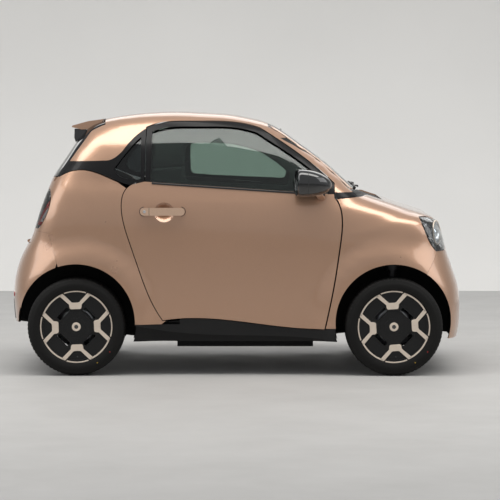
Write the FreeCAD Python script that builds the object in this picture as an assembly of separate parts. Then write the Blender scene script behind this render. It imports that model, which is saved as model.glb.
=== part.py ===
import FreeCAD, Part
import math
import os
from FreeCAD import Vector

# Overall sizes, in millimetres
LENGTH = 2695.0
BODY_WIDTH = 1663.0
HEIGHT = 1555.0
WHEELBASE = 1873.0
FRONT_OVERHANG = 420.0

# Wheels
TYRE_RADIUS = 290.0
RIM_RADIUS = 214.0
FRONT_TYRE_WIDTH = 185.0
REAR_TYRE_WIDTH = 205.0
FRONT_TRACK = 1469.0
REAR_TRACK = 1430.0
FRONT_ARCH_RADIUS = 345.0
REAR_ARCH_RADIUS = 347.0
ARCH_RISE = 24.0
FRONT_FLARE = 54.0
REAR_FLARE = 52.0
FLARE_REACH = 160.0
FLARE_EASE = 14.0

# Walls and gaps
SHUT_GAP = 5.0
FENDER_GAP = 8.0
SEAT_GAP = 0.3
PANEL = 22.0
DOOR_DEPTH = 95.0
FRAME_DEPTH = 46.0
GLASS = 6.0
PILLAR_DEPTH = 62.0
OVERRUN = 60.0
SEAM = 0.8
HATCH_GAP = 13.0
DOOR_ROOM = 15.0
TAILGATE_HINGE_PROUD = 6.0
TAILGATE_PIN_RADIUS = 9.0
TAILGATE_PIN_LENGTH = 70.0
TAILGATE_PIN_Y = 330.0
LAMP_DEPTH = 60.0
ROCKER_DEPTH = 41.0
GLASS_INSET = 14.0
TRIM_INSET = 8.0
TRIM_DEPTH = 40.0
LINER = 3.0
LINER_GAP = 4.0
LINER_DEPTH = 30.0

# Floor and inner body
FLOOR_Z = 215.0
FLOOR_SHEET = 25.0
FLOOR_HALF_WIDTH = 690.0
LUGGAGE_Z = 600.0
LUGGAGE_HALF_WIDTH = 575.0
FIREWALL_X = 700.0
FIREWALL_HALF_WIDTH = 440.0
SEAT_RISER_X = -330.0
LUGGAGE_FRONT_X = -430.0
LUGGAGE_REAR_X = -1185.0
BATTERY_LENGTH = 820.0
BATTERY_WIDTH = 860.0
BATTERY_HEIGHT = 75.0
BATTERY_X = 50.0
MOTOR_LENGTH = 260.0
MOTOR_WIDTH = 480.0
MOTOR_HEIGHT = 340.0
JACK_PAD = 60.0
JACK_PAD_DROP = 15.0
JACK_FRONT_X = 400.0
JACK_REAR_X = -360.0
JACK_Y = 640.0

# Running gear
SPINDLE_RADIUS = 22.0
HUB_RADIUS = 58.0
HUB_INNER = 45.0
BRAKE_RADIUS = 130.0
BRAKE_THICKNESS = 20.0
RIM_WALL = 7.0
RIM_BARREL = 203.0
DISC_INNER = 54.0
DISC_OUTER = 70.0
SLOT_RADIUS = 107.0
SLOT_LENGTH = 84.0
SLOT_WIDTH = 26.0
CAP_RADIUS = 26.0
KNUCKLE_THICKNESS = 26.0
KNUCKLE_DROP = 60.0
KNUCKLE_RISE = 95.0
KNUCKLE_WIDTH = 70.0
STRUT_Y = 572.0
STRUT_RADIUS = 24.0
STRUT_TOP_Z = 800.0
ARM_RADIUS = 14.0
RAIL_HEIGHT = 60.0
RAIL_WIDTH = 55.0
SUBFRAME_FRONT_X = 1190.0
REAR_TUBE_X = -1120.0
REAR_TUBE_RADIUS = 30.0
SHAFT_RADIUS = 13.0

# Cabin
SEAT_WIDTH = 470.0
SEAT_Y = 330.0
SEAT_FRONT_X = 190.0
SEAT_BACK_X = -285.0
CUSHION_TOP_Z = 590.0
CUSHION_THICKNESS = 130.0
BACKREST_TOP_Z = 1160.0
BACKREST_LEAN = 165.0
BACKREST_THICKNESS = 115.0
HEADREST_WIDTH = 270.0
HEADREST_HEIGHT = 170.0
HEADREST_THICKNESS = 85.0
DASH_HALF_WIDTH = 560.0
STEERING_RADIUS = 180.0
STEERING_GRIP = 15.0
STEERING_X = 215.0
STEERING_Z = 905.0
STEERING_RAKE = 24.0
COLUMN_RADIUS = 26.0
COLUMN_LENGTH = 300.0

# Small outer pieces
HANDLE_X = -436.0
HANDLE_Z = 970.0
HANDLE_LENGTH = 262.0
HANDLE_HEIGHT = 46.0
HANDLE_STAND = 34.0
HANDLE_BAR = 16.0
RECESS_X = -427.0
RECESS_RADIUS = 60.0
RECESS_DEPTH = 26.0
MIRROR_X = 432.0
MIRROR_Z = 1150.0
MIRROR_LENGTH = 198.0
MIRROR_WIDTH = 186.0
MIRROR_HEIGHT = 158.0
MIRROR_FOOT_RADIUS = 26.0
MIRROR_REACH = 944.0
WIPER_RADIUS = 8.0
SPOILER_HALF_WIDTH = 500.0

# Derived places
HALF_LENGTH = LENGTH / 2
HALF_WIDTH = BODY_WIDTH / 2
FRONT_AXLE_X = HALF_LENGTH - FRONT_OVERHANG
REAR_AXLE_X = FRONT_AXLE_X - WHEELBASE
AXLE_Z = TYRE_RADIUS
KINGPIN_Y = FRONT_TRACK / 2 - HUB_INNER - SHUT_GAP - KNUCKLE_THICKNESS / 2

# Side silhouette of the body, seen from the side: shares of half the length and of the height
OUTLINE_SHARES = [
    (0.0, -0.36), (0.770, -0.170), (0.920, 0.0), (0.975, 0.100), (0.995, 0.165), (1.0, 0.238),
    (0.993, 0.322),
    (0.968, 0.392), (0.937, 0.469), (0.917, 0.534), (0.891, 0.582), (0.846, 0.605), (0.757, 0.629),
    (0.646, 0.662), (0.586, 0.679), (0.545, 0.694), (0.505, 0.722), (0.430, 0.780), (0.289, 0.873),
    (0.142, 0.955), (0.074, 0.972), (0.013, 0.983), (-0.148, 0.996), (-0.297, 1.0), (-0.445, 0.992),
    (-0.579, 0.974), (-0.653, 0.949), (-0.709, 0.894), (-0.764, 0.823), (-0.813, 0.759),
    (-0.842, 0.701), (-0.872, 0.630), (-0.900, 0.559), (-0.920, 0.514), (-0.957, 0.459),
    (-0.987, 0.390), (-1.0, 0.315), (-0.998, 0.251), (-0.990, 0.180), (-0.965, 0.090),
    (-0.900, -0.030), (-0.750, -0.190),
]
CENTRE_HEIGHT_SHARE = 0.418

# Half width against height: shares of the height and of half the body width
WIDTH_SHARES = [
    (0.0, 0.905), (0.096, 0.916), (0.193, 0.940), (0.289, 0.955), (0.399, 0.963), (0.514, 0.966),
    (0.598, 0.962), (0.656, 0.948), (0.698, 0.924), (0.740, 0.907), (0.836, 0.845), (0.900, 0.788),
    (0.958, 0.757), (1.029, 0.700), (1.2, 0.60),
]
BELT_SLOPE_SHARE = 0.066

# Squareness of the plan corners at the ends and of the roof corners
END_POWER_SHARE = 6.4
TOP_POWER_SHARE = 9.0
FRONT_SPREAD_SHARE = 1.6
REAR_SPREAD_SHARE = 3.2
MIRROR_FOOT_SHARE = 0.80


def through(points, value):
    """Smooth curve through sorted (key, result) pairs, read at one key."""
    last = len(points) - 2
    low = 0
    while low < last and value > points[low + 1][0]:
        low += 1
    (x0, y0), (x1, y1) = points[low], points[low + 1]
    before = points[max(low - 1, 0)]
    after = points[min(low + 2, last + 1)]
    slope0 = (y1 - before[1]) / (x1 - before[0])
    slope1 = (after[1] - y0) / (after[0] - x0)
    span = x1 - x0
    t = min(max((value - x0) / span, 0.0), 1.0)
    rise = y1 - y0
    return (y0 + span * slope0 * t * (1 - t) ** 2 + rise * t * t * (3 - 2 * t)
            - span * slope1 * t * t * (1 - t))


def ease(t):
    t = min(max(t, 0.0), 1.0)
    return t * t * (3 - 2 * t)


def side_point(x_share, z_share):
    return (x_share * HALF_LENGTH, z_share * HEIGHT)


CENTRE_Z = CENTRE_HEIGHT_SHARE * HEIGHT


def polar(x, z):
    return (math.atan2(z - CENTRE_Z, x), math.hypot(x, z - CENTRE_Z))


def outline_table():
    """The silhouette as angle and radius about the body's centre, one turn and a bit more."""
    turn = 2 * math.pi
    rays = sorted(polar(*side_point(*shares)) for shares in OUTLINE_SHARES)
    before = [(angle - turn, radius) for angle, radius in rays[-3:]]
    after = [(angle + turn, radius) for angle, radius in rays[:3]]
    return before + rays + after


OUTLINE = outline_table()
WIDTHS = [(z * HEIGHT, w * HALF_WIDTH) for z, w in WIDTH_SHARES]


def outline_radius(angle):
    while angle > math.pi:
        angle -= 2 * math.pi
    return through(OUTLINE, angle)


def roof_power(angle):
    """Corner squareness: soft at the nose and tail, crisp at the roof sides."""
    spread_share = FRONT_SPREAD_SHARE if math.cos(angle) > 0 else REAR_SPREAD_SHARE
    lift = ease(spread_share * math.sin(angle))
    return END_POWER_SHARE + (TOP_POWER_SHARE - END_POWER_SHARE) * lift


def arch_centre(front):
    return (FRONT_AXLE_X if front else REAR_AXLE_X, AXLE_Z + ARCH_RISE)


def flare(x, z):
    """How far the body side swells over each wheel."""
    swell = 0.0
    for front, radius, amount in ((True, FRONT_ARCH_RADIUS, FRONT_FLARE),
                                  (False, REAR_ARCH_RADIUS, REAR_FLARE)):
        cx, cz = arch_centre(front)
        beyond = math.hypot(x - cx, z - cz) - radius
        swell = max(swell, amount * ease(1 - beyond / FLARE_REACH))
    return swell


def full_width(x, z):
    """Half width of the section before its corners are rounded."""
    return through(WIDTHS, z + BELT_SLOPE_SHARE * x)


def spread(across, x, z):
    """Distance of the skin from the middle plane, held softly within the body width."""
    width = across * full_width(x, z) + across ** 2 * flare(x, z)
    start = HALF_WIDTH - FLARE_EASE
    if width <= start:
        return width
    return HALF_WIDTH - FLARE_EASE * math.exp((start - width) / FLARE_EASE)


def corner_factor(share, power):
    """Share of the full width that is left at a share of the way out to the silhouette."""
    limit = 0.97
    if share <= limit:
        return (1 - share ** power) ** (1 / power)
    inner = 1 - limit ** power
    slope = -(limit ** (power - 1)) * inner ** (1 / power - 1)
    return inner ** (1 / power) + slope * (share - limit)


def half_width(x, z):
    angle, radius = polar(x, z)
    return spread(corner_factor(radius / outline_radius(angle), roof_power(angle)), x, z)


def skin_point(angle, across):
    """Point of the outer skin on a ray from the centre, at a share of the way across."""
    power = roof_power(angle)
    reach = (1 - abs(across) ** power) ** (1 / power) * outline_radius(angle)
    x = reach * math.cos(angle)
    z = CENTRE_Z + reach * math.sin(angle)
    return Vector(x, math.copysign(spread(abs(across), x, z), across), z)


def skin_normal(place, u, v):
    step = 0.004
    du = place(u + step, v) - place(u - step, v)
    dv = place(u, v + step) - place(u, v - step)
    return du.cross(dv).normalize()


def surface(grid):
    patch = Part.BSplineSurface()
    patch.interpolate(grid)
    return patch


def slab(outer_grid, inner_grid):
    """Closed solid between two point grids."""
    outer = surface(outer_grid)
    inner = surface(inner_grid)
    faces = [outer.toShape(), inner.toShape()]
    for reader in ("uIso", "vIso"):
        for end in (0.0, 1.0):
            faces.append(Part.makeRuledSurface(getattr(outer, reader)(end).toShape(),
                                               getattr(inner, reader)(end).toShape()))
    shell = Part.makeCompound(faces)
    shell.sewShape()
    solid = Part.Solid(shell.Shells[0] if shell.Shells else Part.Shell(shell.Faces))
    if solid.Volume < 0:
        solid.reverse()
    return solid


def steps(start, end, count):
    return [start + (end - start) * i / (count - 1) for i in range(count)]


def wrap_point(angle, turn):
    """Skin point of the rounded corner zone: turn runs from the top or end round to the side."""
    power = roof_power(angle)
    out, across = math.cos(turn), math.sin(turn)
    size = (out ** power + across ** power) ** (-1 / power)
    reach = size * out * outline_radius(angle)
    x = reach * math.cos(angle)
    z = CENTRE_Z + reach * math.sin(angle)
    return Vector(x, spread(size * across, x, z), z)


def sunk_grid(place, us, vs, depth):
    """Grid of skin points moved inwards, square to the skin."""
    mid_u, mid_v = us[len(us) // 2], vs[len(vs) // 2]
    towards_middle = Vector(0, 0, CENTRE_Z) - place(mid_u, mid_v)
    sign = math.copysign(1, skin_normal(place, mid_u, mid_v).dot(towards_middle))
    return [[place(u, v) + skin_normal(place, u, v) * sign * depth for v in vs] for u in us]


def wrapped_slab(place, us, vs, top, bottom):
    """Slab of skin between two depths below the outer surface."""
    return slab(sunk_grid(place, us, vs, top), sunk_grid(place, us, vs, bottom))


def corner_slab(angles, turns, top, bottom):
    """Slab over a side's rounded corner zone, on the left of the car."""
    us = steps(math.radians(angles[0]), math.radians(angles[1]), 26)
    vs = steps(math.radians(turns[0]), math.radians(turns[1]), 20)
    return wrapped_slab(wrap_point, us, vs, top, bottom)


def middle_slab(angles, across, top, bottom, count=14):
    """Slab over the middle of the car, from side to side."""
    us = steps(math.radians(angles[0]), math.radians(angles[1]), count)
    spread_angle = math.radians(62)
    vs = [across * math.sin(v) / math.sin(spread_angle) for v in steps(-spread_angle, spread_angle, 21)]
    return wrapped_slab(skin_point, us, vs, top, bottom)


def side_slab(xs, zs, top, bottom, counts=(24, 24)):
    """Slab over the flat of a side, on the left of the car, cut square to the middle plane."""
    def grid(depth):
        return [[Vector(x, half_width(x, z) - depth, z) for z in steps(zs[0], zs[1], counts[1])]
                for x in steps(xs[0], xs[1], counts[0])]
    return slab(grid(top), grid(bottom))


def flat_face(runs, place):
    """Flat face whose rim is a chain of runs; two points make a line, more a smooth curve."""
    edges = []
    for run in runs:
        points = [place(*point) for point in run]
        if len(points) == 2:
            edges.append(Part.LineSegment(*points).toShape())
        else:
            curve = Part.BSplineCurve()
            curve.interpolate(points)
            edges.append(curve.toShape())
    return Part.Face(Part.Wire(edges))


def polygon(points):
    """Runs of a closed figure with straight sides."""
    return [[points[i - 1], points[i]] for i in range(len(points))]


def seen_from_side(x_share, z_share):
    return Vector(x_share * HALF_LENGTH, 0, z_share * HEIGHT)


def seen_from_front(y_share, z_share):
    return Vector(0, y_share * HALF_WIDTH, z_share * HEIGHT)


def seen_from_top(x_share, y_share):
    return Vector(x_share * HALF_LENGTH, y_share * HALF_WIDTH, 0)


def plain_edge(edge):
    """The edge itself, or a smooth curve through it where it only trails another curve."""
    if isinstance(edge.Curve, (Part.Line, Part.Circle)):
        return edge
    curve = Part.BSplineCurve()
    curve.interpolate(edge.discretize(Number=16))
    return curve.toShape()


def grown(face, gap):
    """The same figure with its rim moved outwards."""
    if gap == 0:
        return face
    rim = face.makeOffset2D(gap).OuterWire
    return Part.Face(Part.Wire([plain_edge(edge) for edge in rim.OrderedEdges]))


def through_side(face, low=0.0, high=BODY_WIDTH):
    moved = face.translated(Vector(0, low, 0))
    return moved.extrude(Vector(0, high - low, 0))


def through_front(face, low, high):
    moved = face.translated(Vector(low, 0, 0))
    return moved.extrude(Vector(high - low, 0, 0))


def through_top(face, low=0.0, high=2 * HEIGHT):
    moved = face.translated(Vector(0, 0, low))
    return moved.extrude(Vector(0, 0, high - low))


def other_side(shape):
    return shape.mirror(Vector(0, 0, 0), Vector(0, 1, 0))


def both_sides(shape):
    return Part.makeCompound([shape, other_side(shape)])


def block(x0, x1, y0, y1, z0, z1):
    return Part.makeBox(x1 - x0, y1 - y0, z1 - z0, Vector(x0, y0, z0))


def rod(start, end, radius):
    return Part.makeCylinder(radius, (end - start).Length, start, end - start)


DOOR_RUNS = [
    [(0.384, 0.178), (0.101, 0.197), (-0.238, 0.218), (-0.323, 0.210)],
    [(-0.323, 0.210), (-0.363, 0.268), (-0.413, 0.372), (-0.463, 0.498), (-0.496, 0.595),
     (-0.502, 0.651), (-0.493, 0.692), (-0.457, 0.725)],
    [(-0.457, 0.725), (-0.400, 0.737)],
    [(-0.400, 0.737), (-0.396, 0.941)],
    [(-0.396, 0.941), (-0.328, 0.958), (-0.203, 0.963), (0.013, 0.957), (0.102, 0.938)],
    [(0.102, 0.938), (0.267, 0.843), (0.377, 0.768), (0.427, 0.728)],
    [(0.427, 0.728), (0.427, 0.675)],
    [(0.427, 0.675), (0.450, 0.641), (0.459, 0.595), (0.450, 0.491), (0.425, 0.350),
     (0.384, 0.178)],
]
WINDOW_RUNS = [
    [(0.398, 0.690), (0.101, 0.707), (-0.376, 0.737)],
    [(-0.376, 0.737), (-0.372, 0.925)],
    [(-0.372, 0.925), (-0.300, 0.941), (-0.180, 0.944), (0.013, 0.938), (0.092, 0.920)],
    [(0.092, 0.920), (0.250, 0.831), (0.352, 0.762), (0.398, 0.722)],
    [(0.398, 0.722), (0.398, 0.690)],
]
QUARTER_WINDOW_RUNS = [
    [(-0.420, 0.743), (-0.470, 0.746), (-0.514, 0.758), (-0.536, 0.785)],
    [(-0.536, 0.785), (-0.505, 0.822), (-0.472, 0.858), (-0.445, 0.885), (-0.420, 0.904)],
    [(-0.420, 0.904), (-0.420, 0.743)],
]
GREENHOUSE_RUNS = [
    [(0.590, 0.684), (0.500, 0.735), (0.418, 0.793), (0.283, 0.882), (0.142, 0.948)],
    [(0.142, 0.948), (0.080, 1.02)],
    [(0.080, 1.02), (-0.590, 1.02)],
    [(-0.590, 1.02), (-0.628, 0.944)],
    [(-0.628, 0.944), (-0.690, 0.868), (-0.745, 0.800), (-0.779, 0.757)],
    [(-0.779, 0.757), (-0.569, 0.756), (-0.502, 0.7325), (-0.457, 0.722)],
    [(-0.457, 0.722), (0.427, 0.672)],
    [(0.427, 0.672), (0.590, 0.684)],
]
FENDER_RUNS = [
    [(0.300, 0.180), (0.700, 0.180)],
    [(0.700, 0.180), (0.832, 0.386)],
    [(0.832, 0.386), (0.866, 0.437), (0.882, 0.478), (0.861, 0.547), (0.852, 0.612)],
    [(0.852, 0.612), (0.852, 0.700)],
    [(0.852, 0.700), (0.600, 0.700)],
    [(0.600, 0.700), (0.590, 0.680)],
    [(0.590, 0.680), (0.427, 0.668)],
    [(0.427, 0.668), (0.300, 0.672)],
    [(0.300, 0.672), (0.300, 0.180)],
]
QUARTER_RUNS = [
    [(-0.250, 0.195), (-0.250, 0.718)],
    [(-0.250, 0.718), (-0.457, 0.718)],
    [(-0.457, 0.718), (-0.502, 0.728), (-0.569, 0.752), (-0.779, 0.753)],
    [(-0.779, 0.753), (-1.020, 0.753)],
    [(-1.020, 0.753), (-1.020, 0.560)],
    [(-1.020, 0.560), (-0.8215, 0.540)],
    [(-0.8215, 0.540), (-0.809, 0.494), (-0.796, 0.457), (-0.784, 0.423)],
    [(-0.784, 0.423), (-0.700, 0.195)],
    [(-0.700, 0.195), (-0.250, 0.195)],
]
SILL_RUNS = [
    [(-0.447, 0.192), (-0.323, 0.170), (0.101, 0.151), (0.432, 0.130)],
    [(0.432, 0.130), (0.432, 0.300)],
    [(0.432, 0.300), (-0.447, 0.300)],
    [(-0.447, 0.300), (-0.447, 0.192)],
]


FIREWALL_TOP_SHARE = 0.44
CABIN_SIDE_SHARE = 0.745
ABOVE_BELT_SHARES = [(-0.60, 0.742), (0.60, 0.684), (0.60, 1.10), (-0.60, 1.10)]
WINDSCREEN_SHARES = [(-0.62, 0.98), (-0.655, 0.90), (-0.715, 0.80), (-0.785, 0.70), (-0.80, 0.60),
                     (0.80, 0.60), (0.785, 0.70), (0.715, 0.80), (0.655, 0.90), (0.62, 0.98)]
HATCH_SIDE_SHARES = [(0.60, 1.02), (0.665, 0.93), (0.725, 0.84), (0.775, 0.757)]
HATCH_LOW_SHARE = 0.740
TAIL_SEAM_SHARE = 0.753
BUMPER_LOW_SHARE = 0.135
REAR_LOW_SHARE = 0.195
ROOF_SHARES = [(-0.583, -0.638), (0.138, -0.638), (0.138, 0.638), (-0.583, 0.638)]
MIRROR_SIDE_RUNS = [
    [(0.19, 1.0), (0.0, 0.60)],
    [(0.0, 0.60), (0.03, 0.08)],
    [(0.03, 0.08), (0.69, 0.0)],
    [(0.69, 0.0), (0.95, 0.14), (1.0, 0.36), (0.94, 0.60), (0.78, 0.81), (0.50, 0.96), (0.19, 1.0)],
]
MIRROR_FRONT_RUNS = [
    [(0.0, 0.12), (0.0, 0.80)],
    [(0.0, 0.80), (0.18, 0.99), (0.50, 1.03), (0.85, 0.93), (1.0, 0.60), (0.97, 0.25), (0.80, -0.02)],
    [(0.80, -0.02), (0.0, 0.12)],
]
MIRROR_TOP_RUNS = [
    [(-0.05, -0.05), (-0.05, 1.0)],
    [(-0.05, 1.0), (0.30, 0.99), (0.62, 0.92), (0.86, 0.72), (1.02, 0.35)],
    [(1.02, 0.35), (1.02, -0.05)],
    [(1.02, -0.05), (-0.05, -0.05)],
]
BONNET_RUNS = [
    [(0.650, -0.790), (0.770, -0.755), (0.870, -0.660)],
    [(0.870, -0.660), (0.893, -0.400), (0.900, 0.0), (0.893, 0.400), (0.870, 0.660)],
    [(0.870, 0.660), (0.770, 0.755), (0.650, 0.790)],
    [(0.650, 0.790), (0.650, -0.790)],
]
COWL_RUNS = [
    [(0.650, -0.790), (0.560, -0.830)],
    [(0.560, -0.830), (0.450, -0.830)],
    [(0.450, -0.830), (0.450, 0.830)],
    [(0.450, 0.830), (0.560, 0.830)],
    [(0.560, 0.830), (0.650, 0.790)],
    [(0.650, 0.790), (0.650, -0.790)],
]
HEADLAMP_SIDE_RUNS = [
    [(0.800, 0.605), (0.820, 0.560), (0.850, 0.500), (0.882, 0.466)],
    [(0.882, 0.466), (1.10, 0.460)],
    [(1.10, 0.460), (1.10, 0.612)],
    [(1.10, 0.612), (0.800, 0.605)],
]
HEADLAMP_FRONT_RUNS = [
    [(0.520, 0.545), (0.535, 0.500), (0.590, 0.478), (0.700, 0.470)],
    [(0.700, 0.470), (1.10, 0.466)],
    [(1.10, 0.466), (1.10, 0.607)],
    [(1.10, 0.607), (0.700, 0.600)],
    [(0.700, 0.600), (0.600, 0.592), (0.540, 0.575), (0.520, 0.545)],
]
TAIL_LAMP_RUNS = [
    [(-0.832, 0.714), (-0.818, 0.690), (-0.819, 0.655), (-0.840, 0.600), (-0.872, 0.556)],
    [(-0.872, 0.556), (-1.020, 0.556)],
    [(-1.020, 0.556), (-1.020, 0.714)],
    [(-1.020, 0.714), (-0.832, 0.714)],
]
TAIL_LAMP_REAR_SHARES = [(0.715, 0.540), (1.10, 0.540), (1.10, 0.730), (0.745, 0.730)]
TAILGATE_SHARES = [(-0.700, 0.500), (0.700, 0.500), (0.715, 0.560), (0.746, 0.760),
                   (-0.746, 0.760), (-0.715, 0.560)]
HATCH_TOP_SHARE = -0.590
GRILLE_SHARES = [(-0.560, 0.200), (0.560, 0.200), (0.500, 0.325), (-0.500, 0.325)]
SPOILER_SHARES = [(-0.5905, 0.9725), (-0.660, 0.9640), (-0.731, 0.9470), (-0.733, 0.9410),
                  (-0.690, 0.9320), (-0.620, 0.9350)]
DASH_SHARES = [(0.500, 0.440), (0.515, 0.620), (0.470, 0.662), (0.350, 0.665), (0.300, 0.630),
               (0.305, 0.560), (0.370, 0.520), (0.400, 0.440)]
WIPER_ANGLE = math.radians(32.5)
WIPER_SHARES = [(-0.72, -0.06), (0.06, 0.72)]
DOOR_REACH = (-0.534 * HALF_LENGTH, 0.534 * HALF_LENGTH)
DOOR_HEIGHTS = (0.154 * HEIGHT, 0.984 * HEIGHT)
GREENHOUSE_REACH = (-0.82 * HALF_LENGTH, 0.62 * HALF_LENGTH)
GREENHOUSE_HEIGHTS = (0.655 * HEIGHT, 0.984 * HEIGHT)
SILL_REACH = (-0.47 * HALF_LENGTH, 0.46 * HALF_LENGTH)
SILL_HEIGHTS = (0.11 * HEIGHT, 0.31 * HEIGHT)
POST_REACH = (-0.76 * HALF_LENGTH, 0.56 * HALF_LENGTH)
POST_HEIGHTS = (0.128 * HEIGHT, 0.700 * HEIGHT)
FRONT_CORNER_ANGLES = (-42, 40)
REAR_CORNER_ANGLES = (145, 218)
CORNER_TURNS = (30, 75)
BUMPER_ACROSS_SHARE = 0.955
TOP_ACROSS_SHARE = 0.88
HEADER_ACROSS_SHARE = 0.865
HEADER_ANGLES = ((75, 83), (124, 133))


def from_side(runs, gap=0.0):
    return through_side(grown(flat_face(runs, seen_from_side), gap), -BODY_WIDTH, BODY_WIDTH)


def door_opening(gap):
    return from_side(DOOR_RUNS, gap)


def wheel_opening(front, growth=0.0):
    x, z = arch_centre(front)
    radius = (FRONT_ARCH_RADIUS if front else REAR_ARCH_RADIUS) + growth
    return rod(Vector(x, -BODY_WIDTH, z), Vector(x, BODY_WIDTH, z), radius)


def door_shape():
    skin = side_slab(DOOR_REACH, DOOR_HEIGHTS, 0, DOOR_DEPTH)
    inside = side_slab(DOOR_REACH, DOOR_HEIGHTS, FRAME_DEPTH, FRAME_DEPTH + DOOR_DEPTH)
    inside = inside.common(from_side(polygon(ABOVE_BELT_SHARES)))
    dish_radius = (RECESS_RADIUS ** 2 + RECESS_DEPTH ** 2) / (2 * RECESS_DEPTH)
    dish_y = half_width(RECESS_X, HANDLE_Z) - RECESS_DEPTH + dish_radius
    dish = Part.makeSphere(dish_radius, Vector(RECESS_X, dish_y, HANDLE_Z))
    door = skin.common(from_side(DOOR_RUNS)).cut(from_side(WINDOW_RUNS))
    return door.cut(inside).cut(dish).cut(roof_prism(SHUT_GAP))


def door_glass_shape():
    skin = side_slab(DOOR_REACH, DOOR_HEIGHTS, GLASS_INSET, GLASS_INSET + GLASS)
    return skin.common(from_side(WINDOW_RUNS, -SEAT_GAP))


def door_handle_shape():
    skin_y = half_width(HANDLE_X, HANDLE_Z)
    bar_y = skin_y + HANDLE_STAND - HANDLE_BAR
    bar = block(HANDLE_X - HANDLE_LENGTH / 2, HANDLE_X + HANDLE_LENGTH / 2,
                bar_y, bar_y + HANDLE_BAR,
                HANDLE_Z - HANDLE_HEIGHT / 2, HANDLE_Z + HANDLE_HEIGHT / 2)
    uprights = [edge for edge in bar.Edges if abs(edge.tangentAt(edge.FirstParameter).y) > 0.5]
    bar = bar.makeFillet(HANDLE_HEIGHT * 0.48, uprights)
    foot_radius = HANDLE_HEIGHT * 0.38
    for end in (-1, 1):
        x = HANDLE_X + end * (HANDLE_LENGTH / 2 - HANDLE_HEIGHT / 2)
        foot = rod(Vector(x, skin_y - HANDLE_STAND, HANDLE_Z), Vector(x, bar_y, HANDLE_Z), foot_radius)
        bar = bar.fuse(foot)
    inside = side_slab(DOOR_REACH, DOOR_HEIGHTS, -SEAT_GAP, DOOR_DEPTH)
    return bar.cut(inside)


def mirror_shape():
    """Domed housing, flat towards the driver, on a short foot at the door's front corner."""
    back = MIRROR_X - MIRROR_LENGTH / 2
    inner = MIRROR_REACH - MIRROR_WIDTH
    low = MIRROR_Z - MIRROR_HEIGHT / 2
    beside = flat_face(MIRROR_SIDE_RUNS, lambda along, up: Vector(
        back + along * MIRROR_LENGTH, 0, low + up * MIRROR_HEIGHT))
    ahead = flat_face(MIRROR_FRONT_RUNS, lambda across, up: Vector(
        0, inner + across * MIRROR_WIDTH, low + up * MIRROR_HEIGHT))
    above = flat_face(MIRROR_TOP_RUNS, lambda along, across: Vector(
        back + along * MIRROR_LENGTH, inner + across * MIRROR_WIDTH, 0))
    housing = through_side(beside, 0, BODY_WIDTH).common(through_front(ahead, 0, LENGTH))
    housing = housing.common(through_top(above))
    foot_start = Vector(MIRROR_X + MIRROR_FOOT_RADIUS, inner + MIRROR_WIDTH / 2, MIRROR_Z)
    foot_end = Vector(MIRROR_X + 2 * MIRROR_FOOT_RADIUS, MIRROR_FOOT_SHARE * HALF_WIDTH,
                      low - MIRROR_FOOT_RADIUS)
    inside = side_slab(DOOR_REACH, DOOR_HEIGHTS, -SEAT_GAP, PILLAR_DEPTH + DOOR_DEPTH)
    return housing.fuse(rod(foot_start, foot_end, MIRROR_FOOT_RADIUS).cut(inside))


def greenhouse_prism(gap=0.0):
    return from_side(GREENHOUSE_RUNS, gap)


def roof_prism(gap=0.0):
    return through_top(grown(flat_face(polygon(ROOF_SHARES), seen_from_top), gap))


def roof_slab(top, bottom):
    return middle_slab((74, 136), TOP_ACROSS_SHARE, top, bottom)


def roof_shape():
    return roof_slab(0, PANEL).common(roof_prism())


def safety_cell_shape():
    """Pillars and roof rails of both sides, joined by headers, with posts and rockers below."""
    upper = side_slab(GREENHOUSE_REACH, GREENHOUSE_HEIGHTS, 0, PILLAR_DEPTH)
    upper = upper.common(greenhouse_prism()).cut(roof_prism(SEAM))
    upper = upper.cut(windscreen_prism(SEAM)).cut(hatch_room(HATCH_GAP))
    upper = upper.cut(door_opening(SHUT_GAP)).cut(from_side(QUARTER_WINDOW_RUNS))
    lower = side_slab(POST_REACH, POST_HEIGHTS, ROCKER_DEPTH, ROCKER_DEPTH + 2 * DOOR_DEPTH,
                      counts=(20, 16))
    middle = block(-LENGTH, LENGTH, 0, FLOOR_HALF_WIDTH, 0, 0.36 * HEIGHT)
    cabin = block(-LENGTH, LENGTH, 0, CABIN_SIDE_SHARE * HALF_WIDTH, 0, HEIGHT)
    lower = lower.cut(door_opening(DOOR_ROOM)).cut(middle).cut(cabin)
    lower = lower.cut(sill_slab(-OVERRUN, TRIM_DEPTH + SEAT_GAP))
    lower = lower.cut(corner_slab(FRONT_CORNER_ANGLES, CORNER_TURNS, -OVERRUN, PANEL + SEAT_GAP))
    lower = lower.cut(cowl_slab(-OVERRUN, TRIM_INSET + PANEL + SEAT_GAP))
    for front in (True, False):
        lower = lower.cut(wheel_opening(front, LINER_GAP + LINER + SEAT_GAP))
    rail = block(FIREWALL_X, FRONT_AXLE_X + 2 * KNUCKLE_WIDTH, CABIN_SIDE_SHARE * HALF_WIDTH,
                 CABIN_SIDE_SHARE * HALF_WIDTH + RAIL_HEIGHT, STRUT_TOP_Z, STRUT_TOP_Z + RAIL_HEIGHT)
    shelf = block(FRONT_AXLE_X - KNUCKLE_WIDTH, FRONT_AXLE_X + KNUCKLE_WIDTH,
                  STRUT_Y - 2 * STRUT_RADIUS, CABIN_SIDE_SHARE * HALF_WIDTH + RAIL_HEIGHT,
                  STRUT_TOP_Z + SEAT_GAP, STRUT_TOP_Z + RAIL_HEIGHT)
    side = upper.fuse([lower, rail, shelf])
    headers = []
    for angles in HEADER_ANGLES:
        header = middle_slab(angles, HEADER_ACROSS_SHARE, PANEL / 2, PANEL + FRAME_DEPTH, 5)
        header = header.cut(roof_slab(-OVERRUN, PANEL + SEAT_GAP)).cut(door_opening(SHUT_GAP))
        headers.append(header.cut(rear_window_slab(-OVERRUN, PANEL + SEAT_GAP)))
    return side.fuse([other_side(side)] + headers)


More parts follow.
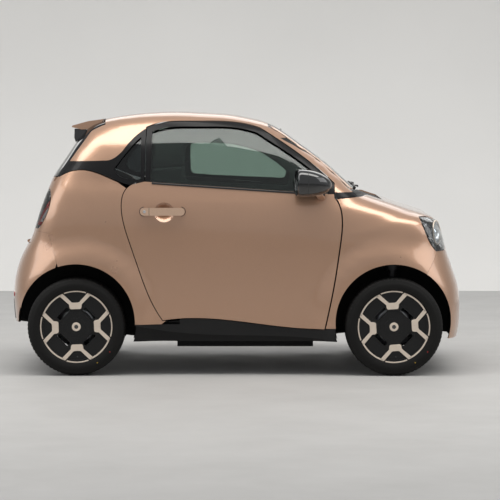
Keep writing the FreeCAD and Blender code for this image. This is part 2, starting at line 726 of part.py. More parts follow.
def quarter_glass_shape():
    skin = side_slab(GREENHOUSE_REACH, GREENHOUSE_HEIGHTS, GLASS_INSET, GLASS_INSET + GLASS)
    return both_sides(skin.common(from_side(QUARTER_WINDOW_RUNS, -SEAT_GAP)))


def windscreen_prism(gap=0.0):
    return through_front(grown(flat_face(polygon(WINDSCREEN_SHARES), seen_from_front), gap), 0, LENGTH)


def hatch_prism(gap=0.0):
    sides = HATCH_SIDE_SHARES + [(HATCH_SIDE_SHARES[-1][0], HATCH_LOW_SHARE)]
    outline = [(-y, z) for y, z in sides] + list(reversed(sides))
    figure = grown(flat_face(polygon(outline), seen_from_front), gap)
    return through_front(figure, -LENGTH, HATCH_TOP_SHARE * HALF_LENGTH + gap)


def tail_point(across, z):
    """Skin point of the tail at a height and a share of the way across."""
    low, high = math.pi / 2, math.pi
    for _ in range(30):
        middle = (low + high) / 2
        if skin_point(middle, across).z > z:
            low = middle
        else:
            high = middle
    return skin_point(low, across)


def tailgate_hinge():
    """Point in the middle plane on the axis that the tailgate drops about."""
    z = TAILGATE_SHARES[0][1] * HEIGHT - SHUT_GAP / 2
    return Vector(tail_point(0.0, z).x - TAILGATE_HINGE_PROUD, 0, z)


def tailgate_pins(gap=0.0):
    """Two hinge pins along the lower edge of the tailgate."""
    hinge = tailgate_hinge()
    pins = []
    for side in (-1, 1):
        near = side * (TAILGATE_PIN_Y - TAILGATE_PIN_LENGTH / 2 - gap)
        far = side * (TAILGATE_PIN_Y + TAILGATE_PIN_LENGTH / 2 + gap)
        pins.append(rod(hinge + Vector(0, near, 0), hinge + Vector(0, far, 0), TAILGATE_PIN_RADIUS + gap))
    return pins


def tail_drum(gap):
    """Body of revolution about the tailgate's hinge out to the seam under the rear window."""
    hinge = tailgate_hinge()
    rim = []
    for across in steps(-TOP_ACROSS_SHARE, TOP_ACROSS_SHARE, 13):
        point = tail_point(across, TAIL_SEAM_SHARE * HEIGHT)
        radius = math.hypot(point.x - hinge.x, point.z - hinge.z) + gap
        rim.append(Vector(hinge.x, point.y, hinge.z + radius))
    start, end = Vector(hinge.x, rim[0].y, hinge.z), Vector(hinge.x, rim[-1].y, hinge.z)
    face = flat_face([rim, [rim[-1], end], [end, start], [start, rim[0]]], lambda *point: Vector(*point))
    return face.revolve(hinge, Vector(0, 1, 0), 360)


def hatch_room(gap):
    """Space that the rear window needs, down to the turned seam above the tailgate."""
    return hatch_prism(gap).cut(tail_drum(-SHUT_GAP / 2))


def windscreen_shape():
    glass = middle_slab((29, 78), TOP_ACROSS_SHARE + 0.04, 0, GLASS, 18)
    glass = glass.common(windscreen_prism()).cut(roof_prism(SEAM))
    return glass.cut(cowl_prism(SEAM))


def cowl_prism(gap=0.0):
    figure = grown(flat_face(COWL_RUNS, seen_from_top), gap)
    return through_top(figure, 0, 0.700 * HEIGHT)


def bonnet_prism(gap=0.0):
    return through_top(grown(flat_face(BONNET_RUNS, seen_from_top), gap), 0.5 * HEIGHT, HEIGHT)


def bonnet_shape():
    return middle_slab((9, 33), TOP_ACROSS_SHARE + 0.04, 0, PANEL).common(bonnet_prism())


def cowl_slab(top, bottom):
    return middle_slab((16, 36), TOP_ACROSS_SHARE + 0.04, top, bottom)


def cowl_shape():
    cowl = cowl_slab(TRIM_INSET, TRIM_INSET + PANEL)
    cowl = cowl.common(cowl_prism()).cut(bonnet_prism(SEAM))
    return cowl.cut(greenhouse_prism(SEAM)).cut(both_sides(fender_side()))


def headlamp_tool(gap=0.0):
    side = from_side(HEADLAMP_SIDE_RUNS, gap)
    ahead = through_front(grown(flat_face(HEADLAMP_FRONT_RUNS, seen_from_front), gap), 0, LENGTH)
    return side.common(ahead)


def headlamp_shape():
    lamp = corner_slab((-8, 22), (24, 60), 0, LAMP_DEPTH).common(headlamp_tool())
    return both_sides(lamp.cut(bonnet_prism(SEAM)))


def fender_prism(gap=0.0):
    return from_side(FENDER_RUNS, gap)


def fender_side():
    fender = corner_slab(FRONT_CORNER_ANGLES, CORNER_TURNS, 0, PANEL).common(fender_prism())
    fender = fender.cut(door_opening(FENDER_GAP)).cut(bonnet_prism(SEAM)).cut(headlamp_tool(SEAM))
    return fender.cut(wheel_opening(True)).cut(greenhouse_prism(SEAM))


def bumper_slab(front, top, bottom):
    return middle_slab((-30, 16) if front else (158, 206), BUMPER_ACROSS_SHARE, top, bottom, 18)


def front_bumper_shape():
    skin = bumper_slab(True, 0, PANEL)
    skin = skin.common(block(0, LENGTH, -BODY_WIDTH, BODY_WIDTH, BUMPER_LOW_SHARE * HEIGHT, HEIGHT))
    lamp = headlamp_tool(SEAM)
    opening = through_front(flat_face(polygon(GRILLE_SHARES), seen_from_front), 0, LENGTH)
    skin = skin.cut(fender_prism(SEAM)).cut(bonnet_prism(SEAM)).cut(both_sides(lamp))
    return skin.cut(wheel_opening(True)).cut(opening)


def grille_shape():
    skin = middle_slab((-26, 6), 0.80, TRIM_INSET, TRIM_INSET + PANEL, 8)
    opening = grown(flat_face(polygon(GRILLE_SHARES), seen_from_front), -SEAT_GAP)
    grille = skin.common(through_front(opening, 0, LENGTH))
    low, high = GRILLE_SHARES[0][1] * HEIGHT, GRILLE_SHARES[2][1] * HEIGHT
    rows = 4
    pitch = (high - low) / (rows + 0.4)
    for row in range(rows):
        z = low + pitch * (row + 0.4)
        half = GRILLE_SHARES[2][0] * HALF_WIDTH * 0.93
        grille = grille.cut(block(0, LENGTH, -half, half, z, z + pitch * 0.6))
    return grille


def tail_lamp_tool(gap=0.0):
    side = from_side(TAIL_LAMP_RUNS, gap)
    figure = grown(flat_face(polygon(TAIL_LAMP_REAR_SHARES), seen_from_front), gap)
    return side.common(through_front(figure, -LENGTH, 0))


def tail_lamp_shape():
    lamp = corner_slab((146, 176), CORNER_TURNS, 0, LAMP_DEPTH)
    return both_sides(lamp.common(tail_lamp_tool()))


def tailgate_opening(gap):
    figure = grown(flat_face(polygon(TAILGATE_SHARES), seen_from_front), gap)
    return through_front(figure, -LENGTH, -0.5 * LENGTH / 2)


def tailgate_shape():
    skin = middle_slab((150, 178), TOP_ACROSS_SHARE, 0, FRAME_DEPTH).common(tailgate_opening(0))
    return skin.common(tail_drum(-SHUT_GAP / 2)).cut(tailgate_pins(SEAT_GAP))


def quarter_shape():
    panel = corner_slab(REAR_CORNER_ANGLES, CORNER_TURNS, 0, PANEL).common(from_side(QUARTER_RUNS))
    panel = panel.cut(door_opening(SHUT_GAP)).cut(wheel_opening(False))
    panel = panel.cut(tail_lamp_tool(SEAM)).cut(tailgate_opening(SHUT_GAP))
    return both_sides(panel.cut(greenhouse_prism(SEAM)).cut(hatch_room(SHUT_GAP)))


def rear_bumper_shape():
    skin = bumper_slab(False, 0, PANEL)
    skin = skin.common(block(-LENGTH, 0, -BODY_WIDTH, BODY_WIDTH, REAR_LOW_SHARE * HEIGHT, HEIGHT))
    skin = skin.cut(from_side(QUARTER_RUNS, SEAM)).cut(tailgate_opening(SHUT_GAP))
    skin = skin.cut(wheel_opening(False)).cut(both_sides(tail_lamp_tool(SEAM)))
    return skin.fuse(tailgate_pins())


def rear_window_slab(top, bottom):
    return middle_slab((128, 158), TOP_ACROSS_SHARE + 0.04, top, bottom, 16)


def rear_window_shape():
    glass = rear_window_slab(0, PANEL).common(hatch_prism()).cut(roof_prism(SHUT_GAP))
    return glass.cut(tail_drum(SHUT_GAP / 2))


def spoiler_shape():
    spoiler = through_side(flat_face(polygon(SPOILER_SHARES), seen_from_side),
                           -SPOILER_HALF_WIDTH, SPOILER_HALF_WIDTH)
    body = middle_slab((122, 150), TOP_ACROSS_SHARE + 0.04, -SEAT_GAP, FRAME_DEPTH, 16)
    return spoiler.cut(body)


def sill_slab(top, bottom):
    return side_slab(SILL_REACH, SILL_HEIGHTS, top, bottom, counts=(16, 8))


def sill_cover_shape():
    cover = sill_slab(TRIM_INSET, TRIM_DEPTH)
    cover = cover.common(from_side(SILL_RUNS)).cut(door_opening(SHUT_GAP))
    cover = cover.cut(fender_prism(SEAM)).cut(from_side(QUARTER_RUNS, SEAM))
    for front in (True, False):
        cover = cover.cut(wheel_opening(front))
    return both_sides(cover)


def ring(profile):
    """Solid of revolution about the wheel's axle, from (offset along the axle, radius) corners."""
    corners = [Vector(0, y, r) for y, r in profile]
    face = Part.Face(Part.Wire(Part.makePolygon(corners + corners[:1]).Edges))
    return face.revolve(Vector(0, 0, 0), Vector(0, 1, 0), 360)


def tyre_shape(width):
    half = width / 2
    bead = 0.70 * half
    seat = RIM_BARREL + SEAT_GAP
    wall = TYRE_RADIUS - seat
    side = [(bead, seat), (half, seat + 0.46 * wall), (0.99 * half, seat + 0.72 * wall),
            (0.78 * half, TYRE_RADIUS)]
    return ring([(-y, r) for y, r in side] + [(y, r) for y, r in reversed(side)])


def rim_shape(width):
    """Barrel with flanges, wheel disc with four slots, hub and brake disc, open side outwards."""
    half = width / 2
    bead = 0.70 * half + SEAT_GAP
    slope = (0.30 * half) / (0.46 * (TYRE_RADIUS - RIM_BARREL - SEAT_GAP))
    lip = bead + slope * (RIM_RADIUS - RIM_BARREL)
    inner = RIM_BARREL - RIM_WALL
    edge = lip + RIM_WALL
    barrel = ring([(-bead, RIM_BARREL), (-lip, RIM_RADIUS), (-edge, RIM_RADIUS), (-edge, inner),
                   (edge, inner), (edge, RIM_RADIUS), (lip, RIM_RADIUS), (bead, RIM_BARREL)])
    face = edge - DISC_OUTER - RIM_WALL
    disc = rod(Vector(0, DISC_INNER + face, 0), Vector(0, DISC_OUTER + face, 0), inner + RIM_WALL / 2)
    for quarter in range(4):
        slot = block(-SLOT_LENGTH / 2, SLOT_LENGTH / 2, 0, width,
                     SLOT_RADIUS - SLOT_WIDTH / 2, SLOT_RADIUS + SLOT_WIDTH / 2)
        slot.rotate(Vector(0, 0, 0), Vector(0, 1, 0), 45 + 90 * quarter)
        disc = disc.cut(slot)
    hub = rod(Vector(0, -HUB_INNER, 0), Vector(0, DISC_INNER + face, 0), HUB_RADIUS)
    brake = rod(Vector(0, -HUB_INNER, 0), Vector(0, BRAKE_THICKNESS - HUB_INNER, 0), BRAKE_RADIUS)
    bore = rod(Vector(0, -HUB_INNER, 0), Vector(0, HUB_INNER / 2, 0), SPINDLE_RADIUS + SEAT_GAP)
    cap = rod(Vector(0, DISC_OUTER + face, 0), Vector(0, edge, 0), CAP_RADIUS)
    return barrel.fuse([disc, hub, brake, cap]).cut(bore)


def at_wheel(shape, front):
    track = FRONT_TRACK if front else REAR_TRACK
    return shape.translated(Vector(FRONT_AXLE_X if front else REAR_AXLE_X, track / 2, AXLE_Z))


def knuckle_shape():
    """Upright with its spindle, on the left; the steering axis runs up through the plate."""
    hub_y = FRONT_TRACK / 2 - HUB_INNER
    plate_y = hub_y - SHUT_GAP
    plate = block(FRONT_AXLE_X - KNUCKLE_WIDTH / 2, FRONT_AXLE_X + KNUCKLE_WIDTH / 2,
                  plate_y - KNUCKLE_THICKNESS, plate_y, AXLE_Z - KNUCKLE_DROP, AXLE_Z + KNUCKLE_RISE)
    spindle = rod(Vector(FRONT_AXLE_X, plate_y - KNUCKLE_THICKNESS / 2, AXLE_Z),
                  Vector(FRONT_AXLE_X, hub_y + HUB_INNER / 2, AXLE_Z), SPINDLE_RADIUS)
    return plate.fuse(spindle)


def front_struts_shape():
    """Spring legs from above the uprights to the body shelves."""
    pin_z = AXLE_Z + KNUCKLE_RISE + SEAT_GAP
    foot_z = pin_z + ARM_RADIUS
    pin = rod(Vector(FRONT_AXLE_X, KINGPIN_Y, pin_z), Vector(FRONT_AXLE_X, KINGPIN_Y, foot_z), ARM_RADIUS)
    foot = rod(Vector(FRONT_AXLE_X, KINGPIN_Y, foot_z), Vector(FRONT_AXLE_X, STRUT_Y, foot_z), ARM_RADIUS)
    leg = rod(Vector(FRONT_AXLE_X, STRUT_Y, foot_z - STRUT_RADIUS),
              Vector(FRONT_AXLE_X, STRUT_Y, STRUT_TOP_Z), STRUT_RADIUS)
    spring = rod(Vector(FRONT_AXLE_X, STRUT_Y, 0.77 * STRUT_TOP_Z),
                 Vector(FRONT_AXLE_X, STRUT_Y, 0.98 * STRUT_TOP_Z), 1.9 * STRUT_RADIUS)
    return both_sides(leg.fuse([pin, foot, spring]))


def front_subframe_shape():
    """Two long rails, a cross member and the lower arms that end under the uprights."""
    outer = FIREWALL_HALF_WIDTH - RAIL_WIDTH
    arm_z = AXLE_Z - KNUCKLE_DROP - SEAT_GAP - ARM_RADIUS
    low = arm_z - ARM_RADIUS
    parts = [block(FRONT_AXLE_X - RAIL_WIDTH, FRONT_AXLE_X + RAIL_WIDTH, -outer, outer,
                   low, low + RAIL_HEIGHT)]
    for side in (-1, 1):
        near, far = sorted((side * (outer - RAIL_WIDTH), side * outer))
        parts.append(block(FIREWALL_X + FLOOR_SHEET + SEAT_GAP, SUBFRAME_FRONT_X, near, far,
                           low, low + 3 * RAIL_HEIGHT))
        tip = Vector(FRONT_AXLE_X, side * KINGPIN_Y, arm_z)
        for x in (FRONT_AXLE_X, FRONT_AXLE_X - 3 * RAIL_WIDTH):
            parts.append(rod(Vector(x, side * (outer - RAIL_WIDTH / 2), arm_z), tip, ARM_RADIUS))
        parts.append(rod(tip - Vector(0, 0, ARM_RADIUS), tip + Vector(0, 0, ARM_RADIUS), ARM_RADIUS))
    return parts[0].fuse(parts[1:])


def rear_axle_shape():
    """Cross tube behind the motor, plates inside the wheels, hub carriers, spindles, half shafts."""
    hub_y = REAR_TRACK / 2 - HUB_INNER
    carrier_y = hub_y - SHUT_GAP
    plate_y = REAR_TRACK / 2 - REAR_TYRE_WIDTH / 2 - 2 * SHUT_GAP
    link_x = REAR_AXLE_X - KNUCKLE_WIDTH
    tube = rod(Vector(REAR_TUBE_X, -plate_y, AXLE_Z), Vector(REAR_TUBE_X, plate_y, AXLE_Z),
               REAR_TUBE_RADIUS)
    parts = []
    for side in (-1, 1):
        near, far = sorted((side * (plate_y - KNUCKLE_THICKNESS), side * plate_y))
        parts.append(block(REAR_TUBE_X - REAR_TUBE_RADIUS, link_x + REAR_TUBE_RADIUS, near, far,
                           AXLE_Z - 1.5 * REAR_TUBE_RADIUS, AXLE_Z + 1.5 * REAR_TUBE_RADIUS))
        parts.append(rod(Vector(link_x, side * (plate_y - KNUCKLE_THICKNESS / 2), AXLE_Z),
                         Vector(link_x, side * (carrier_y - KNUCKLE_THICKNESS / 2), AXLE_Z),
                         0.8 * REAR_TUBE_RADIUS))
        near, far = sorted((side * (carrier_y - KNUCKLE_THICKNESS), side * carrier_y))
        parts.append(block(link_x - REAR_TUBE_RADIUS, REAR_AXLE_X + KNUCKLE_WIDTH, near, far,
                           AXLE_Z - KNUCKLE_WIDTH, AXLE_Z + KNUCKLE_WIDTH))
        parts.append(rod(Vector(REAR_AXLE_X, side * (carrier_y - KNUCKLE_THICKNESS), AXLE_Z),
                         Vector(REAR_AXLE_X, side * (hub_y + HUB_INNER / 2), AXLE_Z), SPINDLE_RADIUS))
        parts.append(rod(Vector(REAR_AXLE_X, side * (MOTOR_WIDTH / 2 + SEAT_GAP), AXLE_Z),
                         Vector(REAR_AXLE_X, side * (carrier_y - KNUCKLE_THICKNESS / 2), AXLE_Z),
                         SHAFT_RADIUS))
    return tube.fuse(parts)


def drive_unit_shape():
    top = LUGGAGE_Z - FLOOR_SHEET - SEAT_GAP
    return block(REAR_AXLE_X - MOTOR_LENGTH / 2, REAR_AXLE_X + MOTOR_LENGTH / 2,
                 -MOTOR_WIDTH / 2, MOTOR_WIDTH / 2, top - MOTOR_HEIGHT, top)


def battery_shape():
    top = FLOOR_Z - SEAT_GAP
    return block(BATTERY_X - BATTERY_LENGTH / 2, BATTERY_X + BATTERY_LENGTH / 2,
                 -BATTERY_WIDTH / 2, BATTERY_WIDTH / 2, top - BATTERY_HEIGHT, top)


def floor_shape():
    """Pressed floor: fire wall, footwell, step up behind the seats and luggage deck."""
    sheet = FLOOR_SHEET
    wall_top = FIREWALL_TOP_SHARE * HEIGHT
    profile = [(FIREWALL_X + sheet, wall_top), (FIREWALL_X + sheet, FLOOR_Z + 5 * sheet),
               (FIREWALL_X - 4 * sheet, FLOOR_Z), (LUGGAGE_FRONT_X - sheet, FLOOR_Z),
               (LUGGAGE_FRONT_X - sheet, LUGGAGE_Z - sheet), (LUGGAGE_REAR_X, LUGGAGE_Z - sheet),
               (LUGGAGE_REAR_X, LUGGAGE_Z), (LUGGAGE_FRONT_X, LUGGAGE_Z),
               (LUGGAGE_FRONT_X, FLOOR_Z + sheet), (FIREWALL_X - 5 * sheet, FLOOR_Z + sheet),
               (FIREWALL_X, FLOOR_Z + 6 * sheet), (FIREWALL_X, wall_top)]
    corners = [Vector(x, 0, z) for x, z in profile]
    face = Part.Face(Part.makePolygon(corners + corners[:1]))
    middle = through_side(face, -FIREWALL_HALF_WIDTH, FIREWALL_HALF_WIDTH)
    arch_front = FRONT_AXLE_X - FRONT_ARCH_RADIUS - LINER_DEPTH
    wing = block(LUGGAGE_FRONT_X, arch_front, FIREWALL_HALF_WIDTH, FLOOR_HALF_WIDTH - SEAT_GAP,
                 FLOOR_Z, FLOOR_Z + sheet)
    toe = block(arch_front - sheet, arch_front, FIREWALL_HALF_WIDTH, CABIN_SIDE_SHARE * HALF_WIDTH - SEAT_GAP,
                FLOOR_Z, wall_top)
    deck = block(LUGGAGE_REAR_X, LUGGAGE_FRONT_X, FIREWALL_HALF_WIDTH, LUGGAGE_HALF_WIDTH,
                 LUGGAGE_Z - sheet, LUGGAGE_Z)
    back = block(LUGGAGE_FRONT_X - sheet, LUGGAGE_FRONT_X, FIREWALL_HALF_WIDTH, LUGGAGE_HALF_WIDTH,
                 FLOOR_Z, LUGGAGE_Z)
    pieces = []
    pads = [block(x - JACK_PAD / 2, x + JACK_PAD / 2, JACK_Y - JACK_PAD / 2, JACK_Y + JACK_PAD / 2,
                  FLOOR_Z - JACK_PAD_DROP, FLOOR_Z) for x in (JACK_FRONT_X, JACK_REAR_X)]
    for piece in [wing, toe, deck, back] + pads:
        pieces += [piece, other_side(piece)]
    return middle.fuse(pieces).removeSplitter()


def arch_liner_shape():
    liners = []
    for front in (True, False):
        radius = (FRONT_ARCH_RADIUS if front else REAR_ARCH_RADIUS) + LINER_GAP
        x, z = arch_centre(front)
        inner_y = FIREWALL_HALF_WIDTH + 3 * LINER if front else LUGGAGE_HALF_WIDTH + SEAT_GAP
        outer = Part.makeCylinder(radius + LINER, HALF_WIDTH - inner_y, Vector(x, inner_y, z),
                                  Vector(0, 1, 0))
        liner = outer.cut(wheel_opening(front, LINER_GAP))
        liner = liner.cut(block(x - LENGTH, x + LENGTH, 0, BODY_WIDTH, 0, AXLE_Z + 0.25 * radius))
        reach = (x - 1.1 * radius, x + 1.1 * radius)
        skin = side_slab(reach, (0.18 * HEIGHT, 0.48 * HEIGHT), LINER_DEPTH, HALF_WIDTH, (18, 12))
        liner = liner.common(skin).cut(bumper_slab(front, -OVERRUN, PANEL + SEAT_GAP))
        if front:
            liner = liner.cut(rod(Vector(x, STRUT_Y, z), Vector(x, STRUT_Y, HEIGHT), 2.2 * STRUT_RADIUS))
        liners += [liner, other_side(liner)]
    return Part.makeCompound(liners)


def seat_shape():
    """Cushion, leaning backrest and headrest of one seat in one solid."""
    lean = BACKREST_LEAN / (BACKREST_TOP_Z - CUSHION_TOP_Z)
    low = CUSHION_TOP_Z - CUSHION_THICKNESS
    back_foot = SEAT_BACK_X - BACKREST_THICKNESS
    side = [(SEAT_FRONT_X, low), (SEAT_FRONT_X, CUSHION_TOP_Z), (SEAT_BACK_X, CUSHION_TOP_Z),
            (SEAT_BACK_X - BACKREST_LEAN, BACKREST_TOP_Z),
            (SEAT_BACK_X - BACKREST_LEAN - 0.7 * BACKREST_THICKNESS, BACKREST_TOP_Z),
            (back_foot, low)]
    corners = [Vector(x, 0, z) for x, z in side]
    body = through_side(Part.Face(Part.makePolygon(corners + corners[:1])),
                        SEAT_Y - SEAT_WIDTH / 2, SEAT_Y + SEAT_WIDTH / 2)
    head_x = SEAT_BACK_X - BACKREST_LEAN - lean * HEADREST_HEIGHT / 2
    head = block(head_x - HEADREST_THICKNESS / 2, head_x + HEADREST_THICKNESS / 2,
                 SEAT_Y - HEADREST_WIDTH / 2, SEAT_Y + HEADREST_WIDTH / 2,
                 BACKREST_TOP_Z - 0.2 * HEADREST_HEIGHT, BACKREST_TOP_Z + HEADREST_HEIGHT)
    base = block(SEAT_BACK_X, SEAT_FRONT_X - 0.4 * SEAT_WIDTH, SEAT_Y - 0.35 * SEAT_WIDTH,
                 SEAT_Y + 0.35 * SEAT_WIDTH, FLOOR_Z + FLOOR_SHEET + SEAT_GAP, low)
    return body.fuse([head, base])


def dashboard_shape():
    dash = through_side(flat_face(polygon(DASH_SHARES), seen_from_side),
                        -DASH_HALF_WIDTH, DASH_HALF_WIDTH)
    start, axis = steering_axis()
    column = rod(start + axis * (SHUT_GAP + STEERING_GRIP), start + axis * COLUMN_LENGTH, COLUMN_RADIUS)
    return dash.fuse(column).cut(floor_shape())


def steering_axis():
    rake = math.radians(STEERING_RAKE)
    return Vector(STEERING_X, SEAT_Y, STEERING_Z), Vector(math.cos(rake), 0, -math.sin(rake))


def steering_wheel_shape():
    start, axis = steering_axis()
    rim = Part.makeTorus(STEERING_RADIUS, STEERING_GRIP, start, axis)
    hub = Part.makeCylinder(0.33 * STEERING_RADIUS, 2 * STEERING_GRIP,
                            start - axis * STEERING_GRIP, axis)
    up = Vector(axis.z, 0, -axis.x) * -1
    spokes = []
    for direction in (Vector(0, 1, 0), Vector(0, -1, 0), up * -1):
        spokes.append(rod(start, start + direction * STEERING_RADIUS, 0.7 * STEERING_GRIP))
    return rim.fuse([hub] + spokes)


def wiper_shape():
    """Two blades along the foot of the windscreen, and the arms that carry them."""
    glass = middle_slab((26, 44), TOP_ACROSS_SHARE, -SEAT_GAP, PANEL)
    lift = skin_normal(skin_point, WIPER_ANGLE, 0.0)
    lift = lift * math.copysign(0.8 * WIPER_RADIUS, lift.x)
    blades = []
    for start_share, end_share in WIPER_SHARES:
        start = skin_point(WIPER_ANGLE, start_share) + lift
        end = skin_point(WIPER_ANGLE, end_share) + lift
        blades.append(rod(start, end, WIPER_RADIUS).cut(glass))
    return Part.makeCompound(blades)


def build():
    """Every piece by its name."""
    door = door_shape()
    glass = door_glass_shape()
    handle = door_handle_shape()
    mirror = mirror_shape()
    knuckle = knuckle_shape()
    fender = fender_side()
    seat = seat_shape()
    pieces = {
        "floor_pan": floor_shape(),
        "battery_pack": battery_shape(),
        "drive_unit": drive_unit_shape(),
        "safety_cell": safety_cell_shape(),
        "roof_panel": roof_shape(),
        "bonnet": bonnet_shape(),
        "cowl_panel": cowl_shape(),
        "front_fenders": both_sides(fender),
        "front_bumper": front_bumper_shape(),
        "grille": grille_shape(),
        "headlamps": headlamp_shape(),
        "quarter_panels": quarter_shape(),
        "rear_bumper": rear_bumper_shape(),
        "tail_lamps": tail_lamp_shape(),
        "windscreen": windscreen_shape(),
        "quarter_glass": quarter_glass_shape(),
        "sill_covers": sill_cover_shape(),
        "wipers": wiper_shape(),
        "arch_liners": arch_liner_shape(),
        "dashboard": dashboard_shape(),
        "seats": both_sides(seat),
        "front_subframe": front_subframe_shape(),
        "front_struts": front_struts_shape(),
        "rear_axle": rear_axle_shape(),
        "door_left": door,
        "door_right": other_side(door),
        "door_glass_left": glass,
        "door_glass_right": other_side(glass),
        "door_handle_left": handle,
        "door_handle_right": other_side(handle),
        "mirror_left": mirror,
        "mirror_right": other_side(mirror),
        "rear_window": rear_window_shape(),
        "roof_spoiler": spoiler_shape(),
        "tailgate_panel": tailgate_shape(),
        "steering_wheel": steering_wheel_shape(),
        "knuckle_left": knuckle,
        "knuckle_right": other_side(knuckle),
    }
    for front, place, width in ((True, "front", FRONT_TYRE_WIDTH), (False, "rear", REAR_TYRE_WIDTH)):
        tyre = at_wheel(tyre_shape(width), front)
        rim = at_wheel(rim_shape(width), front)
        pieces["tyre_" + place + "_left"] = tyre
        pieces["tyre_" + place + "_right"] = other_side(tyre)
        pieces["rim_" + place + "_left"] = rim
        pieces["rim_" + place + "_right"] = other_side(rim)
    return pieces


def main():
    os.makedirs("parts", exist_ok=True)
    for name, shape in build().items():
        shape.exportStep("parts/" + name + ".step")


main()
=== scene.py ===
import math
import bmesh
import bpy
from mathutils import Matrix, Vector
from mathutils.bvhtree import BVHTree


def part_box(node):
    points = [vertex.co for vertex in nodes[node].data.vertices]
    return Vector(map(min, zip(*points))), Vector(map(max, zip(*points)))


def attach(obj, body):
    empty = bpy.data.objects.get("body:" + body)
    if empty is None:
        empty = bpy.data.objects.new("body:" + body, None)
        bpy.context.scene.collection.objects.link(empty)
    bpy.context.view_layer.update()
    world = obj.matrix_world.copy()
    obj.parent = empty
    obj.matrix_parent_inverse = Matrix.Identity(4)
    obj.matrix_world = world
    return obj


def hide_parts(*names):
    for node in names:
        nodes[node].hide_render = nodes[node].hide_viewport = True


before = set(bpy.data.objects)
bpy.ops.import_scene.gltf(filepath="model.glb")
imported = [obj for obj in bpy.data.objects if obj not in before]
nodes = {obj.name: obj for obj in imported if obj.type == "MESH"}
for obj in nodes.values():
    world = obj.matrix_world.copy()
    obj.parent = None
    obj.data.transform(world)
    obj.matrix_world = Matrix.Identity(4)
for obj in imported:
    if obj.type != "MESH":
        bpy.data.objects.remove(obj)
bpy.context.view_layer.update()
scene = bpy.context.scene
SIDES = (("left", 1), ("right", -1))

# Colours as linear values
PAINT = (0.480, 0.285, 0.185)
PALE = (0.76, 0.65, 0.54)
BLACK = (0.006, 0.006, 0.0065)
TRIM = (0.0075, 0.0075, 0.008)
RUBBER = (0.0080, 0.0076, 0.0072)
DARK_GREY = (0.018, 0.018, 0.019)
CABIN = (0.024, 0.024, 0.026)
SILVER = (0.55, 0.56, 0.58)
HEADLINER = (0.055, 0.053, 0.050)

# Places in the model's own frame, in metres
FRONT_X, REAR_X, AXLE_Z = 0.9275, -0.9455, 0.290
FRONT_Y, REAR_Y = 0.7345, 0.715
SEAT_Y = 0.330
ARCH_RISE = 0.024
TYRE_RADIUS, BEAD_RADIUS = 0.290, 0.2033
BELT_SLOPE, BELT_HEIGHT = -0.0670, 1.1085
HANDLE_X, HANDLE_BRIDGE = -0.436, 0.060
GLASS_IOR = 1.45
WINDOW_LINE = ((-1.10, 1.262), (-0.967, 1.264), (-0.800, 1.268), (-0.744, 1.274), (-0.690, 1.310),
               (-0.636, 1.375), (-0.583, 1.426), (-0.520, 1.466), (-0.400, 1.497))


# Shader nodes

def new_material(name):
    made = bpy.data.materials.new(name)
    made.use_nodes = True
    tree = made.node_tree
    return made, tree, tree.nodes["Principled BSDF"]


def feed(tree, target, **values):
    """Links or sets sockets by name, with underscores for spaces."""
    for key, value in values.items():
        socket = target.inputs[key.replace("_", " ")]
        if isinstance(value, bpy.types.NodeSocket):
            tree.links.new(value, socket)
        else:
            socket.default_value = value


def node(tree, kind, **values):
    """A new shader node with its properties or sockets set by name."""
    made = tree.nodes.new(kind)
    for key, value in values.items():
        if hasattr(made, key):
            setattr(made, key, value)
        else:
            feed(tree, made, **{key: value})
    return made


def coordinates(tree):
    return node(tree, "ShaderNodeTexCoord").outputs["Object"]


def noise(tree, scale, detail=3.0, roughness=0.5):
    return node(tree, "ShaderNodeTexNoise", Scale=scale, Detail=detail, Roughness=roughness,
                Vector=coordinates(tree)).outputs["Fac"]


def to_range(tree, value, low, high):
    """Spreads the middle half of a value's range between two limits."""
    return node(tree, "ShaderNodeMapRange", From_Min=0.25, From_Max=0.75, To_Min=low, To_Max=high,
                Value=value).outputs["Result"]


def math_node(tree, operation, first, second=None):
    made = node(tree, "ShaderNodeMath", operation=operation)
    for socket, value in zip(made.inputs, (first, second)):
        if value is None:
            continue
        if isinstance(value, (int, float)):
            socket.default_value = value
        else:
            tree.links.new(value, socket)
    return made.outputs[0]


def sloped(tree, value, slope, start):
    return math_node(tree, "ADD", math_node(tree, "MULTIPLY", value, slope), start)


def mix_colour(tree, factor, first, second):
    made = node(tree, "ShaderNodeMix", data_type="RGBA")
    for index, value in ((0, factor), (6, first), (7, second)):
        if isinstance(value, tuple):
            made.inputs[index].default_value = (*value, 1.0)
        else:
            tree.links.new(value, made.inputs[index])
    return made.outputs[2]


def bump(tree, shader, height, strength, distance):
    made = node(tree, "ShaderNodeBump", Strength=strength, Distance=distance, Height=height)
    feed(tree, shader, Normal=made.outputs["Normal"])


def darker(colour, share):
    return tuple(value * share for value in colour)


def surface(name, colour, rough=0.5, metal=0.0, coat=0.0, grain=900.0, depth=0.15, vary=0.85,
            swing=0.08, specular=0.5):
    """Plain finish with fine grain in its colour, gloss and relief."""
    made, tree, shader = new_material(name)
    fine = noise(tree, grain)
    broad = noise(tree, 7.0, 4.0)
    blend = math_node(tree, "MULTIPLY", fine, broad)
    factor = to_range(tree, math_node(tree, "MULTIPLY", blend, 2.0), 0.0, 1.0)
    feed(tree, shader, Base_Color=mix_colour(tree, factor, darker(colour, vary), colour),
         Roughness=to_range(tree, broad, max(rough - swing, 0.02), rough + swing),
         Metallic=metal, Coat_Weight=coat, Coat_Roughness=0.04, Specular_IOR_Level=specular)
    bump(tree, shader, fine, depth, 0.0006)
    return made


def flake(tree, colour):
    """Metallic paint: colour broken up by small flakes, and its fine relief."""
    cells = node(tree, "ShaderNodeTexVoronoi", Scale=1500.0, Vector=coordinates(tree))
    value = node(tree, "ShaderNodeSeparateColor", Color=cells.outputs["Color"])
    return mix_colour(tree, value.outputs[0], darker(colour, 0.90), darker(colour, 1.08)), value.outputs[1]


